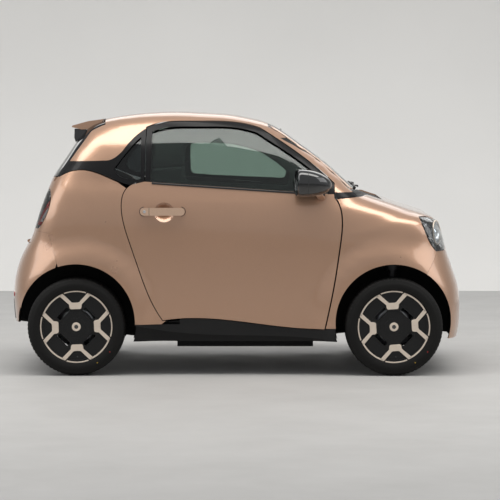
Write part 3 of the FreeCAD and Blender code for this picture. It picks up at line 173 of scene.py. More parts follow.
def split_place(tree):
    return node(tree, "ShaderNodeSeparateXYZ", Vector=coordinates(tree)).outputs


def combined(tree, operation, masks):
    total = masks[0]
    for mask in masks[1:]:
        total = math_node(tree, operation, total, mask)
    return total


def either(tree, *masks):
    return combined(tree, "MAXIMUM", masks)


def both(tree, *masks):
    return combined(tree, "MULTIPLY", masks)


def above(tree, value, edge):
    return math_node(tree, "GREATER_THAN", value, edge)


def below(tree, value, edge):
    return math_node(tree, "LESS_THAN", value, edge)


def past(tree, value, line):
    """Where a value is over a line that itself varies."""
    return above(tree, math_node(tree, "SUBTRACT", value, line), 0.0)


def paint(name="paint", black_where=None, second=TRIM, second_rough=0.30, colour=PAINT):
    """Champagne metallic under clear coat, with a second finish where a mask says."""
    made, tree, shader = new_material(name)
    colour, relief = flake(tree, colour)
    rough = to_range(tree, noise(tree, 5.0, 3.0), 0.27, 0.33)
    metal = 0.55
    if black_where:
        mask = black_where(tree)
        colour = mix_colour(tree, mask, colour, second)
        rough = math_node(tree, "ADD", rough, math_node(tree, "MULTIPLY", mask, second_rough - 0.3))
        painted = math_node(tree, "SUBTRACT", 1.0, mask)
        feed(tree, shader, Metallic=math_node(tree, "MULTIPLY", painted, metal),
             Coat_Weight=sloped(tree, painted, 0.9, 0.1),
             Specular_IOR_Level=sloped(tree, painted, 0.35, 0.15))
    else:
        feed(tree, shader, Metallic=metal, Coat_Weight=1.0)
    feed(tree, shader, Base_Color=colour, Roughness=rough, Coat_Roughness=0.06)
    bump(tree, shader, relief, 0.05, 0.0002)
    return made


def door_black(tree):
    """The window frame above the painted belt, and the corner at the mirror."""
    x, _, z = split_place(tree)
    corner = both(tree, above(tree, x, 0.5365), above(tree, z, 1.070))
    return either(tree, past(tree, z, sloped(tree, x, BELT_SLOPE, BELT_HEIGHT)), corner)


def window_line(tree, x):
    """Height of the painted edge above the side windows, from the tail forwards."""
    tail_x, span, base = -1.1, 0.7, 1.0
    made = node(tree, "ShaderNodeFloatCurve")
    curve = made.mapping.curves[0]
    points = [((place - tail_x) / span, height - base) for place, height in WINDOW_LINE]
    curve.points[0].location = points[0]
    curve.points[1].location = points[-1]
    for point in points[1:-1]:
        curve.points.new(*point)
    made.mapping.update()
    feed(tree, made, Value=math_node(tree, "DIVIDE", math_node(tree, "ADD", x, -tail_x), span))
    return math_node(tree, "ADD", made.outputs["Value"], base)


def cell_black(tree):
    """The window surround, the band behind it and the posts that the doors cover."""
    x, y, z = split_place(tree)
    side = math_node(tree, "ABSOLUTE", y)
    surround = both(tree, below(tree, x, -0.500), below(tree, z, window_line(tree, x)),
                    above(tree, z, 1.10))
    posts = below(tree, z, 1.080)
    deep = both(tree, below(tree, z, 1.40), below(tree, side, 0.58))
    return either(tree, surround, posts, deep)


def mirror_black(tree):
    x, _, z = split_place(tree)
    return either(tree, above(tree, z, 1.083), below(tree, x, 0.400))


def glass(name, tint, specular):
    made, tree, shader = new_material(name)
    cloudy = to_range(tree, noise(tree, 3.0), 0.0, 1.0)
    feed(tree, shader, Roughness=to_range(tree, noise(tree, 6.0, 5.0, 0.6), 0.0, 0.012),
         Base_Color=mix_colour(tree, cloudy, darker(tint, 0.97), tint), Transmission_Weight=1.0,
         Specular_IOR_Level=specular, IOR=GLASS_IOR)
    return made


def printed_glass(name, tint, smear, printed, coat):
    """Tinted glass with black print where a mask says."""
    made, tree, shader = new_material(name)
    mask = printed(tree)
    feed(tree, shader, Base_Color=mix_colour(tree, mask, tint, BLACK),
         Transmission_Weight=math_node(tree, "SUBTRACT", 1.0, mask),
         Roughness=to_range(tree, noise(tree, 8.0, 5.0), 0.0, smear), IOR=GLASS_IOR, Coat_Weight=coat)
    return made


def border(tree, side, z, slope, start, top, foot):
    """Print along both sides, the top and the foot of a screen."""
    return either(tree, past(tree, side, sloped(tree, z, slope, start)), above(tree, z, top),
                  below(tree, z, foot))


def rear_print(tree):
    """Border and heating wires of the rear window."""
    _, y, z = split_place(tree)
    side = math_node(tree, "ABSOLUTE", y)
    wires = math_node(tree, "FRACT", math_node(tree, "MULTIPLY", z, 33.0))
    return either(tree, border(tree, side, z, -0.42, 1.045, 1.455, 1.235),
                  both(tree, below(tree, wires, 0.045), below(tree, side, 0.40)))


def front_print(tree):
    _, y, z = split_place(tree)
    return border(tree, math_node(tree, "ABSOLUTE", y), z, -0.33, 1.020, 1.435, 1.090)


def cloth(name, colour):
    """Woven cloth: two crossed sets of threads over a mottled colour."""
    made, tree, shader = new_material(name)
    threads = []
    for turn in (0.0, math.pi / 2):
        mapping = node(tree, "ShaderNodeMapping", Rotation=(0.0, 0.0, turn), Vector=coordinates(tree))
        wave = node(tree, "ShaderNodeTexWave", Scale=700.0 / 6.3, Distortion=0.6,
                    Vector=mapping.outputs["Vector"])
        threads.append(wave.outputs["Fac"])
    weave = math_node(tree, "MAXIMUM", *threads)
    mottle = noise(tree, 60.0, 5.0, 0.7)
    factor = math_node(tree, "MULTIPLY", weave, mottle)
    feed(tree, shader, Base_Color=mix_colour(tree, factor, darker(colour, 0.6), darker(colour, 1.5)),
         Roughness=to_range(tree, mottle, 0.82, 0.95), Sheen_Weight=0.4)
    bump(tree, shader, weave, 0.5, 0.0008)
    return made


def leather(name, colour):
    made, tree, shader = new_material(name)
    cells = node(tree, "ShaderNodeTexVoronoi", Scale=420.0, Vector=coordinates(tree))
    wear = noise(tree, 14.0, 5.0)
    feed(tree, shader, Base_Color=mix_colour(tree, wear, darker(colour, 0.8), darker(colour, 1.2)),
         Roughness=to_range(tree, wear, 0.42, 0.58))
    bump(tree, shader, cells.outputs["Distance"], 0.35, 0.0006)
    return made


def tail_lamp_material():
    """Dark lamp body with a red band, a pale line along its middle and fine flutes."""
    made, tree, shader = new_material("lamp_red")
    _, y, z = split_place(tree)
    flutes = node(tree, "ShaderNodeTexWave", Scale=50.0, bands_direction="Z", Vector=coordinates(tree))
    outer = math_node(tree, "ABSOLUTE", y)
    ring = math_node(tree, "ABSOLUTE", math_node(tree, "SUBTRACT", outer, sloped(tree, z, 0.45, 0.282)))
    red = both(tree, below(tree, ring, 0.045), above(tree, z, 0.885), below(tree, z, 1.085))
    clear = both(tree, below(tree, ring, 0.018), above(tree, z, 0.905), below(tree, z, 1.065))
    colour = mix_colour(tree, red, (0.006, 0.006, 0.007), (0.42, 0.008, 0.010))
    colour = mix_colour(tree, clear, colour, (0.55, 0.50, 0.50))
    grain = noise(tree, 300.0)
    colour = mix_colour(tree, to_range(tree, grain, 0.0, 0.25), colour, (0.02, 0.0, 0.0))
    feed(tree, shader, Base_Color=colour, Roughness=to_range(tree, grain, 0.10, 0.18), Coat_Weight=1.0)
    bump(tree, shader, flutes.outputs["Fac"], 0.35, 0.0015)
    return made


MATERIALS = {
    "paint": paint(),
    "door": paint("door_paint", door_black, TRIM, 0.34),
    "cell": paint("cell_paint", cell_black, TRIM, 0.32),
    "mirror": paint("mirror_shell", mirror_black, BLACK, 0.12),
    "gloss": surface("gloss_black", BLACK, 0.10, coat=1.0, depth=0.02, swing=0.03, grain=300.0),
    "trim": surface("grained_trim", TRIM, 0.55, grain=1300.0, depth=0.5, specular=0.35),
    "under": surface("seal_coat", DARK_GREY, 0.80, grain=220.0, depth=0.6, specular=0.25),
    "liner": surface("arch_felt", (0.012, 0.012, 0.012), 0.92, grain=500.0, depth=0.8, specular=0.2),
    "steel": surface("painted_steel", (0.035, 0.035, 0.037), 0.45, metal=0.5, grain=180.0, depth=0.3),
    "cast": surface("cast_metal", (0.38, 0.39, 0.40), 0.5, metal=0.9, grain=120.0, depth=0.6),
    "cabin": surface("cabin_plastic", CABIN, 0.6, grain=1100.0, depth=0.5),
    "headliner": surface("headliner", HEADLINER, 0.93, grain=900.0, depth=0.5),
    "rubber": surface("tyre_rubber", RUBBER, 0.68, grain=350.0, depth=0.35, vary=0.7, specular=0.22),
    "seal": surface("seal_rubber", (0.012, 0.012, 0.012), 0.5, grain=500.0, depth=0.2),
    "rim": surface("rim_black", (0.006, 0.006, 0.0063), 0.34, coat=0.15, grain=400.0, depth=0.08,
                   specular=0.25),
    "pale": surface("rim_pale", PALE, 0.34, metal=0.25, coat=0.4, grain=900.0, depth=0.12, vary=0.94),
    "chrome": surface("bright_metal", (0.80, 0.81, 0.82), 0.14, metal=1.0, grain=200.0, depth=0.05,
                      swing=0.04),
    "silver": surface("satin_silver", SILVER, 0.35, metal=0.8, grain=500.0, depth=0.1),
    "mirror_glass": surface("mirror_glass", (0.72, 0.76, 0.79), 0.04, metal=1.0, grain=60.0, depth=0.01,
                            vary=0.97, swing=0.02),
    "plate": surface("blank_plate", (0.70, 0.70, 0.68), 0.4, grain=350.0, depth=0.15, vary=0.95),
    "yellow": surface("yellow_mark", (0.60, 0.38, 0.02), 0.6, grain=300.0, depth=0.2),
    "red": surface("red_reflector", (0.45, 0.012, 0.012), 0.18, coat=1.0, grain=260.0, depth=0.5),
    "screen": surface("screen_glass", (0.006, 0.007, 0.009), 0.08, coat=1.0, grain=90.0, depth=0.02),
    # The handle is body paint; its colour is mixed lighter than PAINT as a painted highlight on the bar.
    "handle": paint("handle_highlight_paint", colour=(0.72, 0.49, 0.35)),
    "side_glass": glass("side_glass", (0.42, 0.52, 0.47), 0.10),
    "privacy": glass("privacy_glass", (0.10, 0.12, 0.12), 0.20),
    "clear": glass("clear_cover", (0.93, 0.95, 0.96), 0.25),
    "windscreen": printed_glass("windscreen_glass", (0.66, 0.74, 0.70), 0.015, front_print, 0.0),
    "rear_window": printed_glass("rear_glass", (0.10, 0.12, 0.115), 0.02, rear_print, 1.0),
    "tail_lamp": tail_lamp_material(),
    "seat_cloth": cloth("seat_cloth", (0.030, 0.027, 0.026)),
    "seat_side": leather("seat_side", (0.022, 0.020, 0.019)),
    "wheel_leather": leather("wheel_leather", (0.018, 0.018, 0.018)),
}

NODE_FINISH = {
    "floor_pan": "under", "battery_pack": "under", "drive_unit": "cast", "safety_cell": "cell",
    "roof_panel": "paint", "bonnet": "paint", "cowl_panel": "trim", "front_fenders": "paint",
    "front_bumper": "paint", "grille": "trim", "headlamps": "clear", "quarter_panels": "paint",
    "rear_bumper": "paint", "tail_lamps": "tail_lamp", "windscreen": "windscreen",
    "quarter_glass": "privacy", "sill_covers": "trim", "wipers": "trim", "arch_liners": "liner",
    "dashboard": "cabin", "seats": "seat_cloth", "front_subframe": "steel", "front_struts": "steel",
    "rear_axle": "steel", "rear_window": "rear_window", "roof_spoiler": "paint",
    "tailgate_panel": "paint", "steering_wheel": "wheel_leather",
}
for side_name in ("left", "right"):
    NODE_FINISH.update({
        "door_" + side_name: "door", "door_glass_" + side_name: "side_glass",
        "door_handle_" + side_name: "handle", "mirror_" + side_name: "mirror",
        "knuckle_" + side_name: "cast",
    })
    for end_name in ("front", "rear"):
        NODE_FINISH["tyre_%s_%s" % (end_name, side_name)] = "rubber"
        NODE_FINISH["rim_%s_%s" % (end_name, side_name)] = "rim"

for name, finish in NODE_FINISH.items():
    mesh = nodes[name].data
    mesh.materials.clear()
    mesh.materials.append(MATERIALS[finish])


def line_inside(name, finish, test):
    """Gives a second finish to the faces of a node that a test picks."""
    mesh = nodes[name].data
    mesh.materials.append(MATERIALS[finish])
    for face in mesh.polygons:
        if test(face.center, face.normal):
            face.material_index = 1


line_inside("roof_panel", "headliner", lambda c, n: n.z < -0.3)
line_inside("bonnet", "trim", lambda c, n: n.z < -0.2)
line_inside("tailgate_panel", "cabin", lambda c, n: n.x > 0.3)
for side_name, sign in SIDES:
    line_inside("door_" + side_name, "cabin", lambda c, n, s=sign: n.y * s < -0.5)
line_inside("safety_cell", "cabin", lambda c, n: n.y * c.y < -0.3 * abs(c.y) or n.z < -0.6)
line_inside("front_bumper", "trim", lambda c, n: n.x < -0.2)
line_inside("rear_bumper", "trim", lambda c, n: n.x > 0.2)


# Mesh helpers

def linked(name, mesh):
    made = bpy.data.objects.new(name, mesh)
    scene.collection.objects.link(made)
    return made


def all_smooth(mesh):
    mesh.polygons.foreach_set("use_smooth", [True] * len(mesh.polygons))


def make(name, points, faces, finish, smooth=True):
    mesh = bpy.data.meshes.new(name)
    mesh.from_pydata([tuple(v) for v in points], [], faces)
    mesh.update()
    mesh.materials.append(MATERIALS[finish])
    if smooth:
        all_smooth(mesh)
    return linked(name, mesh)


def edited(made, change):
    work = bmesh.new()
    work.from_mesh(made.data)
    change(work)
    work.to_mesh(made.data)
    work.free()
    return made


def outward(made):
    """Makes every face of a closed piece look outwards."""
    return edited(made, lambda work: bmesh.ops.recalc_face_normals(work, faces=work.faces))


def modified(made, name, kind, **values):
    modifier = made.modifiers.new(name, kind)
    for key, value in values.items():
        setattr(modifier, key, value)
    return made


def bevelled(made, width, segments=2):
    return modified(made, "bevel", "BEVEL", width=width, segments=segments, limit_method="ANGLE",
                    harden_normals=True)


def thickened(made, depth, offset=-1.0):
    return modified(made, "solid", "SOLIDIFY", thickness=depth, offset=offset)


def placed(made, body, slot, *replaced):
    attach(made, body)
    if replaced:
        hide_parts(*replaced)
    return made


def piece(name, form, finish, body, slot, *replaced, bevel=0.0, segments=2, smooth=True):
    """Closed piece from its points and faces, with rounded edges where bevel is given."""
    made = outward(make(name, *form, finish, smooth))
    if bevel:
        bevelled(made, bevel, segments)
    return placed(made, body, slot, *replaced)


def prism_points(outline, low, high, place):
    """Corner points and faces of a prism between two levels; place turns (u, v, level) to a point."""
    count = len(outline)
    points = [place(u, v, low) for u, v in outline] + [place(u, v, high) for u, v in outline]
    faces = [tuple(range(count)), tuple(reversed(range(count, 2 * count)))]
    for i in range(count):
        j = (i + 1) % count
        faces.append((j, i, i + count, j + count))
    return points, faces


def join_lists(parts):
    """Several (points, faces) pairs as one."""
    points, faces = [], []
    for part_points, part_faces in parts:
        base = len(points)
        points += part_points
        faces += [tuple(index + base for index in face) for face in part_faces]
    return points, faces


def lathe(profile, segments, place, closed=True, shape=None):
    """Surface of revolution; profile holds (offset, radius), place turns (offset, a, b) to a point."""
    points, faces = [], []
    rows = len(profile)
    for step in range(segments):
        angle = 2 * math.pi * step / segments
        for row, (offset, radius) in enumerate(profile):
            if shape:
                offset, radius = shape(step, row, offset, radius)
            points.append(place(offset, radius * math.cos(angle), radius * math.sin(angle)))
    spans = rows if closed else rows - 1
    for step in range(segments):
        after = (step + 1) % segments
        for row in range(spans):
            right = (row + 1) % rows
            faces.append((step * rows + row, step * rows + right, after * rows + right, after * rows + row))
    return points, faces


def grid_faces(rows, columns, closed=False):
    """Faces between rows of points; in a closed grid each row is a ring."""
    faces = []
    for i in range(rows - 1):
        for k in range(columns if closed else columns - 1):
            j = (k + 1) % columns
            faces.append((i * columns + k, i * columns + j, (i + 1) * columns + j, (i + 1) * columns + k))
    return faces


def capped_rings(count, around):
    """Faces of a stack of rings, closed at both ends."""
    return grid_faces(count, around, True) + [tuple(reversed(range(around))),
                                              tuple(range((count - 1) * around, count * around))]


def trimmed(points, faces):
    """Only the points that the faces use, with the faces over them."""
    used = sorted({index for face in faces for index in face})
    renamed = {index: place for place, index in enumerate(used)}
    return [points[i] for i in used], [tuple(renamed[i] for i in face) for face in faces]


def tube(path, radius, sides=10, flat=1.0):
    """Closed tube along a list of points."""
    points = []
    for i, here in enumerate(path):
        ahead = (path[min(i + 1, len(path) - 1)] - path[max(i - 1, 0)]).normalized()
        across = ahead.cross(Vector((0, 0, 1)))
        across = across.normalized() if across.length > 0.01 else Vector((0, 1, 0))
        up = across.cross(ahead).normalized()
        for k in range(sides):
            angle = 2 * math.pi * k / sides
            points.append(here + across * radius * math.cos(angle) + up * radius * flat * math.sin(angle))
    return points, capped_rings(len(path), sides)


def smooth_path(points, steps=8):
    """Catmull-Rom curve through points."""
    points = [Vector(p) for p in points]
    full = [points[0] * 2 - points[1]] + points + [points[-1] * 2 - points[-2]]
    path = []
    for i in range(1, len(full) - 2):
        a, b, c, d = full[i - 1:i + 3]
        for k in range(steps):
            t = k / steps
            path.append(0.5 * (2 * b + (c - a) * t + (2 * a - 5 * b + 4 * c - d) * t ** 2
                               + (3 * b - a - 3 * c + d) * t ** 3))
    path.append(points[-1])
    return path


def rounded_block(size, radius, segments):
    work = bmesh.new()
    bmesh.ops.create_cube(work, size=1.0)
    bmesh.ops.scale(work, vec=size, verts=work.verts)
    bmesh.ops.bevel(work, geom=list(work.edges), offset=radius, segments=segments, profile=0.6,
                    affect="EDGES")
    return work


def object_from(work, name):
    mesh = bpy.data.meshes.new(name)
    work.to_mesh(mesh)
    work.free()
    return linked(name, mesh)


def fixed_box(name, centre, size, finish, radius, slot="cabin_plastic", tilt=0.0, body="chassis",
              segments=3):
    """Box with well rounded edges, turned about its own cross axis by tilt."""
    work = rounded_block(size, radius, segments)
    if tilt:
        bmesh.ops.rotate(work, matrix=Matrix.Rotation(tilt, 3, Vector((0, 1, 0))), verts=work.verts)
    bmesh.ops.translate(work, vec=centre, verts=work.verts)
    made = object_from(work, name)
    made.data.materials.append(MATERIALS[finish])
    all_smooth(made.data)
    return placed(made, body, slot)


# The skin as a target for trims

def tree_of(*names):
    meshes = [nodes[name].data for name in names]
    return BVHTree.FromPolygons(*join_lists(
        ([v.co.copy() for v in mesh.vertices], [tuple(face.vertices) for face in mesh.polygons])
        for mesh in meshes))


def outer_hit(tree, start, direction, lift):
    """First point that a ray meets, raised by lift towards where the ray came from."""
    place, normal, _, _ = tree.ray_cast(start, direction)
    if place is None:
        return None
    if normal.dot(direction) > 0:
        normal.negate()
    return place + normal * lift


def side_hit(tree, x, z, sign, lift=0.0):
    """Point on the outside of a side at a length and height."""
    return outer_hit(tree, Vector((x, sign * 2.0, z)), Vector((0, -sign, 0)), lift)


def end_hit(tree, y, z, sign, lift=0.0):
    return outer_hit(tree, Vector((sign * 3.0, y, z)), Vector((-sign, 0, 0)), lift)


def skin_patch(name, hit, first, second, rows, finish, depth, steps=6):
    """Thin trim that lies on the skin between two curves given in side or end view."""
    one, two = (smooth_path([(a, b, 0) for a, b in curve], steps) for curve in (first, second))
    count = min(len(one), len(two))
    grid = []
    for i in range(count):
        for k in range(rows + 1):
            point = one[i].lerp(two[i], k / rows)
            grid.append(hit(point.x, point.y))
    faces = [corners for corners in grid_faces(count, rows + 1)
             if all(grid[c] is not None for c in corners)]
    return thickened(outward(make(name, *trimmed(grid, faces), finish)), depth, 0.0)


# Wheels

def wheel_places():
    for end, x, y, width in (("front", FRONT_X, FRONT_Y, 0.185), ("rear", REAR_X, REAR_Y, 0.205)):
        for side, sign in SIDES:
            yield end, side, sign, x, y, width


def tyre_profile(width):
    """Section of the tyre from bead to bead: (offset from the middle, radius)."""
    wall = ((0.72, 0.2045), (0.80, 0.2080), (0.90, 0.2150), (0.945, 0.2180), (0.950, 0.2225), (0.985, 0.2290),
            (0.998, 0.2400), (0.998, 0.2500), (0.985, 0.2590), (0.972, 0.2605), (0.955, 0.2680),
            (0.915, 0.2765), (0.865, 0.2828), (0.80, 0.2868), (0.74, 0.2882))
    tread = ((0.60, 0.2891), (0.50, 0.2894), (0.49, 0.2830), (0.40, 0.2830), (0.39, 0.2896), (0.22, 0.2899),
             (0.10, 0.2900), (0.09, 0.2835), (0.0, 0.2835))
    half = [(share * (width / 2), radius) for share, radius in wall + tread]
    return half + [(-offset, radius) for offset, radius in reversed(half[:-1])]


def tread_blocks(step, row, offset, radius):
    """Cuts cross grooves into the tread and short ones into the shoulder."""
    slot, profile_rows = step % 4, 47
    from_edge = min(row, profile_rows - 1 - row)
    if slot == 0 and 11 <= from_edge <= 16:
        return offset, radius - 0.0030
    if slot == 2 and from_edge in (19, 20):
        return offset, radius - 0.0028
    return offset, radius


def build_tyre(end, side, sign, x, y, width):
    tyre = "tyre_%s_%s" % (end, side)
    form = lathe(tyre_profile(width), 288, lambda o, a, b: Vector((x + a, sign * y + o, AXLE_Z + b)),
                 shape=tread_blocks)
    piece(tyre + "_tread", form, "rubber", "wheel_%s_%s" % (end, side), "tyre_rubber", tyre)


def ring_arc(inner, outer, start, stop, count):
    """Outline of a flat arc, in the wheel's plane."""
    angles = [math.radians(start + (stop - start) * i / count) for i in range(count + 1)]
    return ([(outer * math.cos(a), outer * math.sin(a)) for a in angles]
            + [(inner * math.cos(a), inner * math.sin(a)) for a in reversed(angles)])


# Half outline of a pale bracket that points along +u, with its far corner
TIP_U, TIP_V = 0.2112 * math.cos(math.radians(23.5)), 0.2112 * math.sin(math.radians(23.5))
BRACKET = [(0.1045, 0.0), (0.1045, 0.0270), (0.1080, 0.0330), (0.1180, 0.0362), (0.1320, 0.0375),
           (TIP_U - 0.0130, TIP_V + 0.0050), (TIP_U, TIP_V), (TIP_U + 0.0040, TIP_V - 0.0110),
           (0.1520, 0.0285), (0.1460, 0.0235), (0.1430, 0.0150), (0.1430, 0.0)]
WELL = [(0.1500, -0.0170), (0.1500, 0.0170), (0.1960, 0.0690), (0.2060, 0.0560), (0.2095, 0.0280),
        (0.2105, 0.0), (0.2095, -0.0280), (0.2060, -0.0560), (0.1960, -0.0690)]
LIPS = ([(0.0895, -0.047), (0.0895, 0.047), (0.0935, 0.047), (0.0935, -0.047)],
        [(0.1210, -0.047), (0.1210, 0.047), (0.1260, 0.051), (0.1260, -0.051)])
CAP = [(0.001, 0.001), (0.0085, 0.001), (0.0085, 0.0120), (0.0078, 0.0135), (0.0085, 0.0150),
       (0.0085, 0.0235), (0.0070, 0.0262), (0.001, 0.0262)]
CAP_CORE = [(0.002, 0.001), (0.0090, 0.001), (0.0090, 0.0115), (0.0080, 0.0125), (0.002, 0.0125)]
BRAKE = [(-0.030, 0.066), (-0.012, 0.066), (-0.012, 0.122), (-0.030, 0.122)]


def turned_outline(outline, angle):
    c, s = math.cos(angle), math.sin(angle)
    return [(u * c - v * s, u * s + v * c) for u, v in outline]


def build_wheel_face(end, side, sign, x, y, width):
    """Accents, cover, cap, valve and brake of one wheel; level is the face that they stand on."""
    half = width / 2
    slope = (0.30 * half) / (0.46 * (TYRE_RADIUS - BEAD_RADIUS))
    edge = 0.70 * half + 0.0003 + slope * 0.011 + 0.007
    level = edge - 0.007
    turn = math.radians(4.0 if end == "front" else 2.0)
    body, tag = "wheel_%s_%s" % (end, side), "_%s_%s" % (end, side)

    def at(u, v, out):
        return Vector((x + u, sign * (y + out), AXLE_Z + v))

    def spun(profile, segments, base):
        return lathe(profile, segments, lambda o, a, b: at(a, b, base + o))

    pale, dark = [], []
    for quarter in range(4):
        angle = quarter * math.pi / 2 + turn
        for mirror in (1, -1):
            outline = turned_outline([(u, v * mirror) for u, v in BRACKET], angle)
            pale.append(prism_points(outline, level - 0.0010, edge + 0.0030, at))
        base = math.degrees(angle)
        pale.append(prism_points(ring_arc(0.2015, 0.2110, base + 23.0, base + 67.0, 20), edge - 0.001,
                                 edge + 0.0030, at))
        pale.append(prism_points(ring_arc(0.2060, 0.2140, base - 18.0, base + 18.0, 16), edge - 0.001,
                                 edge + 0.0020, at))
        inset = [(0.158 + (u - 0.158) * 0.86, v * 0.80) for u, v in WELL]
        points = [at(*p, level + 0.0012) for p in turned_outline(WELL, angle)]
        points += [at(*p, level + 0.0004) for p in turned_outline(inset, angle)]
        count = len(WELL)
        faces = [(i, (i + 1) % count, (i + 1) % count + count, i + count) for i in range(count)]
        dark.append((points, faces + [tuple(range(count, 2 * count))]))
        for outline in LIPS:
            dark.append(prism_points(turned_outline(outline, angle + math.pi / 4), level - 0.001,
                                     level + 0.0035, at))
    corners = [math.radians(22.5 + 45 * i) + turn for i in range(8)]
    octagon = [(0.0840 * math.cos(a) * 1.08, 0.0840 * math.sin(a) * 1.08) for a in corners]
    inner = [(u * 0.62, v * 0.62) for u, v in octagon]
    dark.append(prism_points(octagon, level - 0.001, level + 0.0030, at))
    dark.append(prism_points(inner, level, level + 0.0060, at))
    piece("wheel_accents" + tag, join_lists(pale), "pale", body, "rim_black", bevel=0.0012, smooth=False)
    piece("wheel_cover" + tag, join_lists(dark), "rim", body, "rim_black", bevel=0.0008, smooth=False)
    piece("wheel_cap" + tag, spun(CAP, 48, level), "pale", body, "rim_black", bevel=0.0004, segments=1)
    piece("wheel_cap_core" + tag, spun(CAP_CORE, 40, level), "gloss", body, "rim_black")
    stem = Vector((0.179 * math.cos(turn - math.pi / 2), 0, 0.179 * math.sin(turn - math.pi / 2)))
    start, stop = at(stem.x, stem.z, level - 0.004), at(stem.x, stem.z, level + 0.0065)
    path = [start, start.lerp(stop, 0.5), start.lerp(stop, 0.55), stop]
    piece("valve" + tag, tube(path, 0.0050, 14), "seal", body, "rim_black")
    piece("brake_face" + tag, spun(BRAKE, 64, 0.0), "silver", body, "rim_black")


def paint_dot(end, side, sign, x, y, width, u, v, colour):
    """Balance mark on a new tyre's outer wall."""
    base = sign * (y + 0.998 * width / 2)
    profile = [(-0.0004, 0.0030), (0.0007, 0.0028), (0.0009, 0.0018), (0.0010, 0.0002)]
    points, faces = lathe(profile, 20, lambda o, a, b: Vector((x + u + a, base + sign * o, AXLE_Z + v + b)),
                          False)
    made = make("tyre_mark_%s_%s_%s" % (colour, end, side), points, faces, colour)
    placed(made, "wheel_%s_%s" % (end, side), "tyre_rubber")


for spec in wheel_places():
    build_tyre(*spec)
    build_wheel_face(*spec)
    paint_dot(*spec, 0.198, -0.147, "red")
    paint_dot(*spec, 0.125, -0.211, "yellow")


# Wheel houses

BODY_SIDE = {sign: tree_of("door_left" if sign > 0 else "door_right", "quarter_panels", "front_fenders",
                           "safety_cell", "front_bumper", "rear_bumper", "sill_covers", "cowl_panel")
             for sign in (1, -1)}
FRONT_END = tree_of("front_bumper", "grille", "bonnet", "front_fenders")
REAR_END = tree_of("rear_bumper", "tailgate_panel", "quarter_panels")


def skin_reach(x, z, sign):
    """Distance of the side's outer surface from the middle; behind an opening, the nearest skin."""
    place = side_hit(BODY_SIDE[sign], x, z, sign)
    return abs(place.y) if place else 0.74


def wheel_house(name, x, radius, inner, sign, start, stop):
    """Arched liner from behind the body's edge to an inner wall round the wheel."""
    centre_z = AXLE_Z + ARCH_RISE
    count, rows = 44, 8
    points = []
    for i in range(count + 1):
        angle = math.radians(start + (stop - start) * i / count)
        c, s = math.cos(angle), math.sin(angle)
        edge = skin_reach(x + (radius + 0.012) * c, centre_z + (radius + 0.012) * s, sign) - 0.030
        edge = min(max(edge, 0.66), 0.79)
        for k in range(rows + 1):
            y = inner + (edge - inner) * k / rows
            rib = 0.0025 * math.sin(k * 2.1) if 0 < k < rows else 0.0
            points.append(Vector((x + radius * c - rib * c, sign * y, centre_z + radius * s - rib * s)))
    faces = grid_faces(count + 1, rows + 1)
    hub = len(points)
    points.append(Vector((x, sign * inner, centre_z - 0.06)))
    faces += [(hub, i * (rows + 1), (i + 1) * (rows + 1)) for i in range(count)]
    made = make(name, points, faces, "liner")
    return placed(thickened(made, 0.0025, 0.0), "chassis", "black_trim")


for side_name, sign in SIDES:
    made = wheel_house("wheel_house_front_" + side_name, FRONT_X, 0.3495, 0.448, sign, -14, 196)
    if sign > 0:
        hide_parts("arch_liners")
    wheel_house("wheel_house_rear_" + side_name, REAR_X, 0.3515, 0.575, sign, -16, 181)


# Lamps

def split_node(name, sign, outward_axis, least):
    """Outer faces and the rest of one side's lamp, as two lists of faces over shared points."""
    mesh = nodes[name].data
    outer, rest = [], []
    axis = Vector(outward_axis).normalized()
    for face in mesh.polygons:
        if face.center.y * sign <= 0:
            continue
        (outer if face.normal.dot(axis) > least else rest).append(tuple(face.vertices))
    return [v.co.copy() for v in mesh.vertices], outer, rest


def part_of(name, points, faces, finish):
    return edited(make(name, *trimmed(points, faces), finish),
                  lambda work: bmesh.ops.remove_doubles(work, verts=work.verts, dist=0.0002))


def aimed(centre, direction):
    """Place function for a lathe whose axis looks along a direction."""
    axis = Vector(direction).normalized()
    across = axis.cross(Vector((0, 0, 1))).normalized()
    up = across.cross(axis)
    return lambda out, a, b: centre + axis * out + across * a + up * b


def turned_piece(name, profile, segments, centre, direction, finish, body, slot, closed=False):
    points, faces = lathe(profile, segments, aimed(Vector(centre), direction), closed)
    made = make(name, points, faces, finish)
    return placed(outward(made) if closed else made, body, slot)


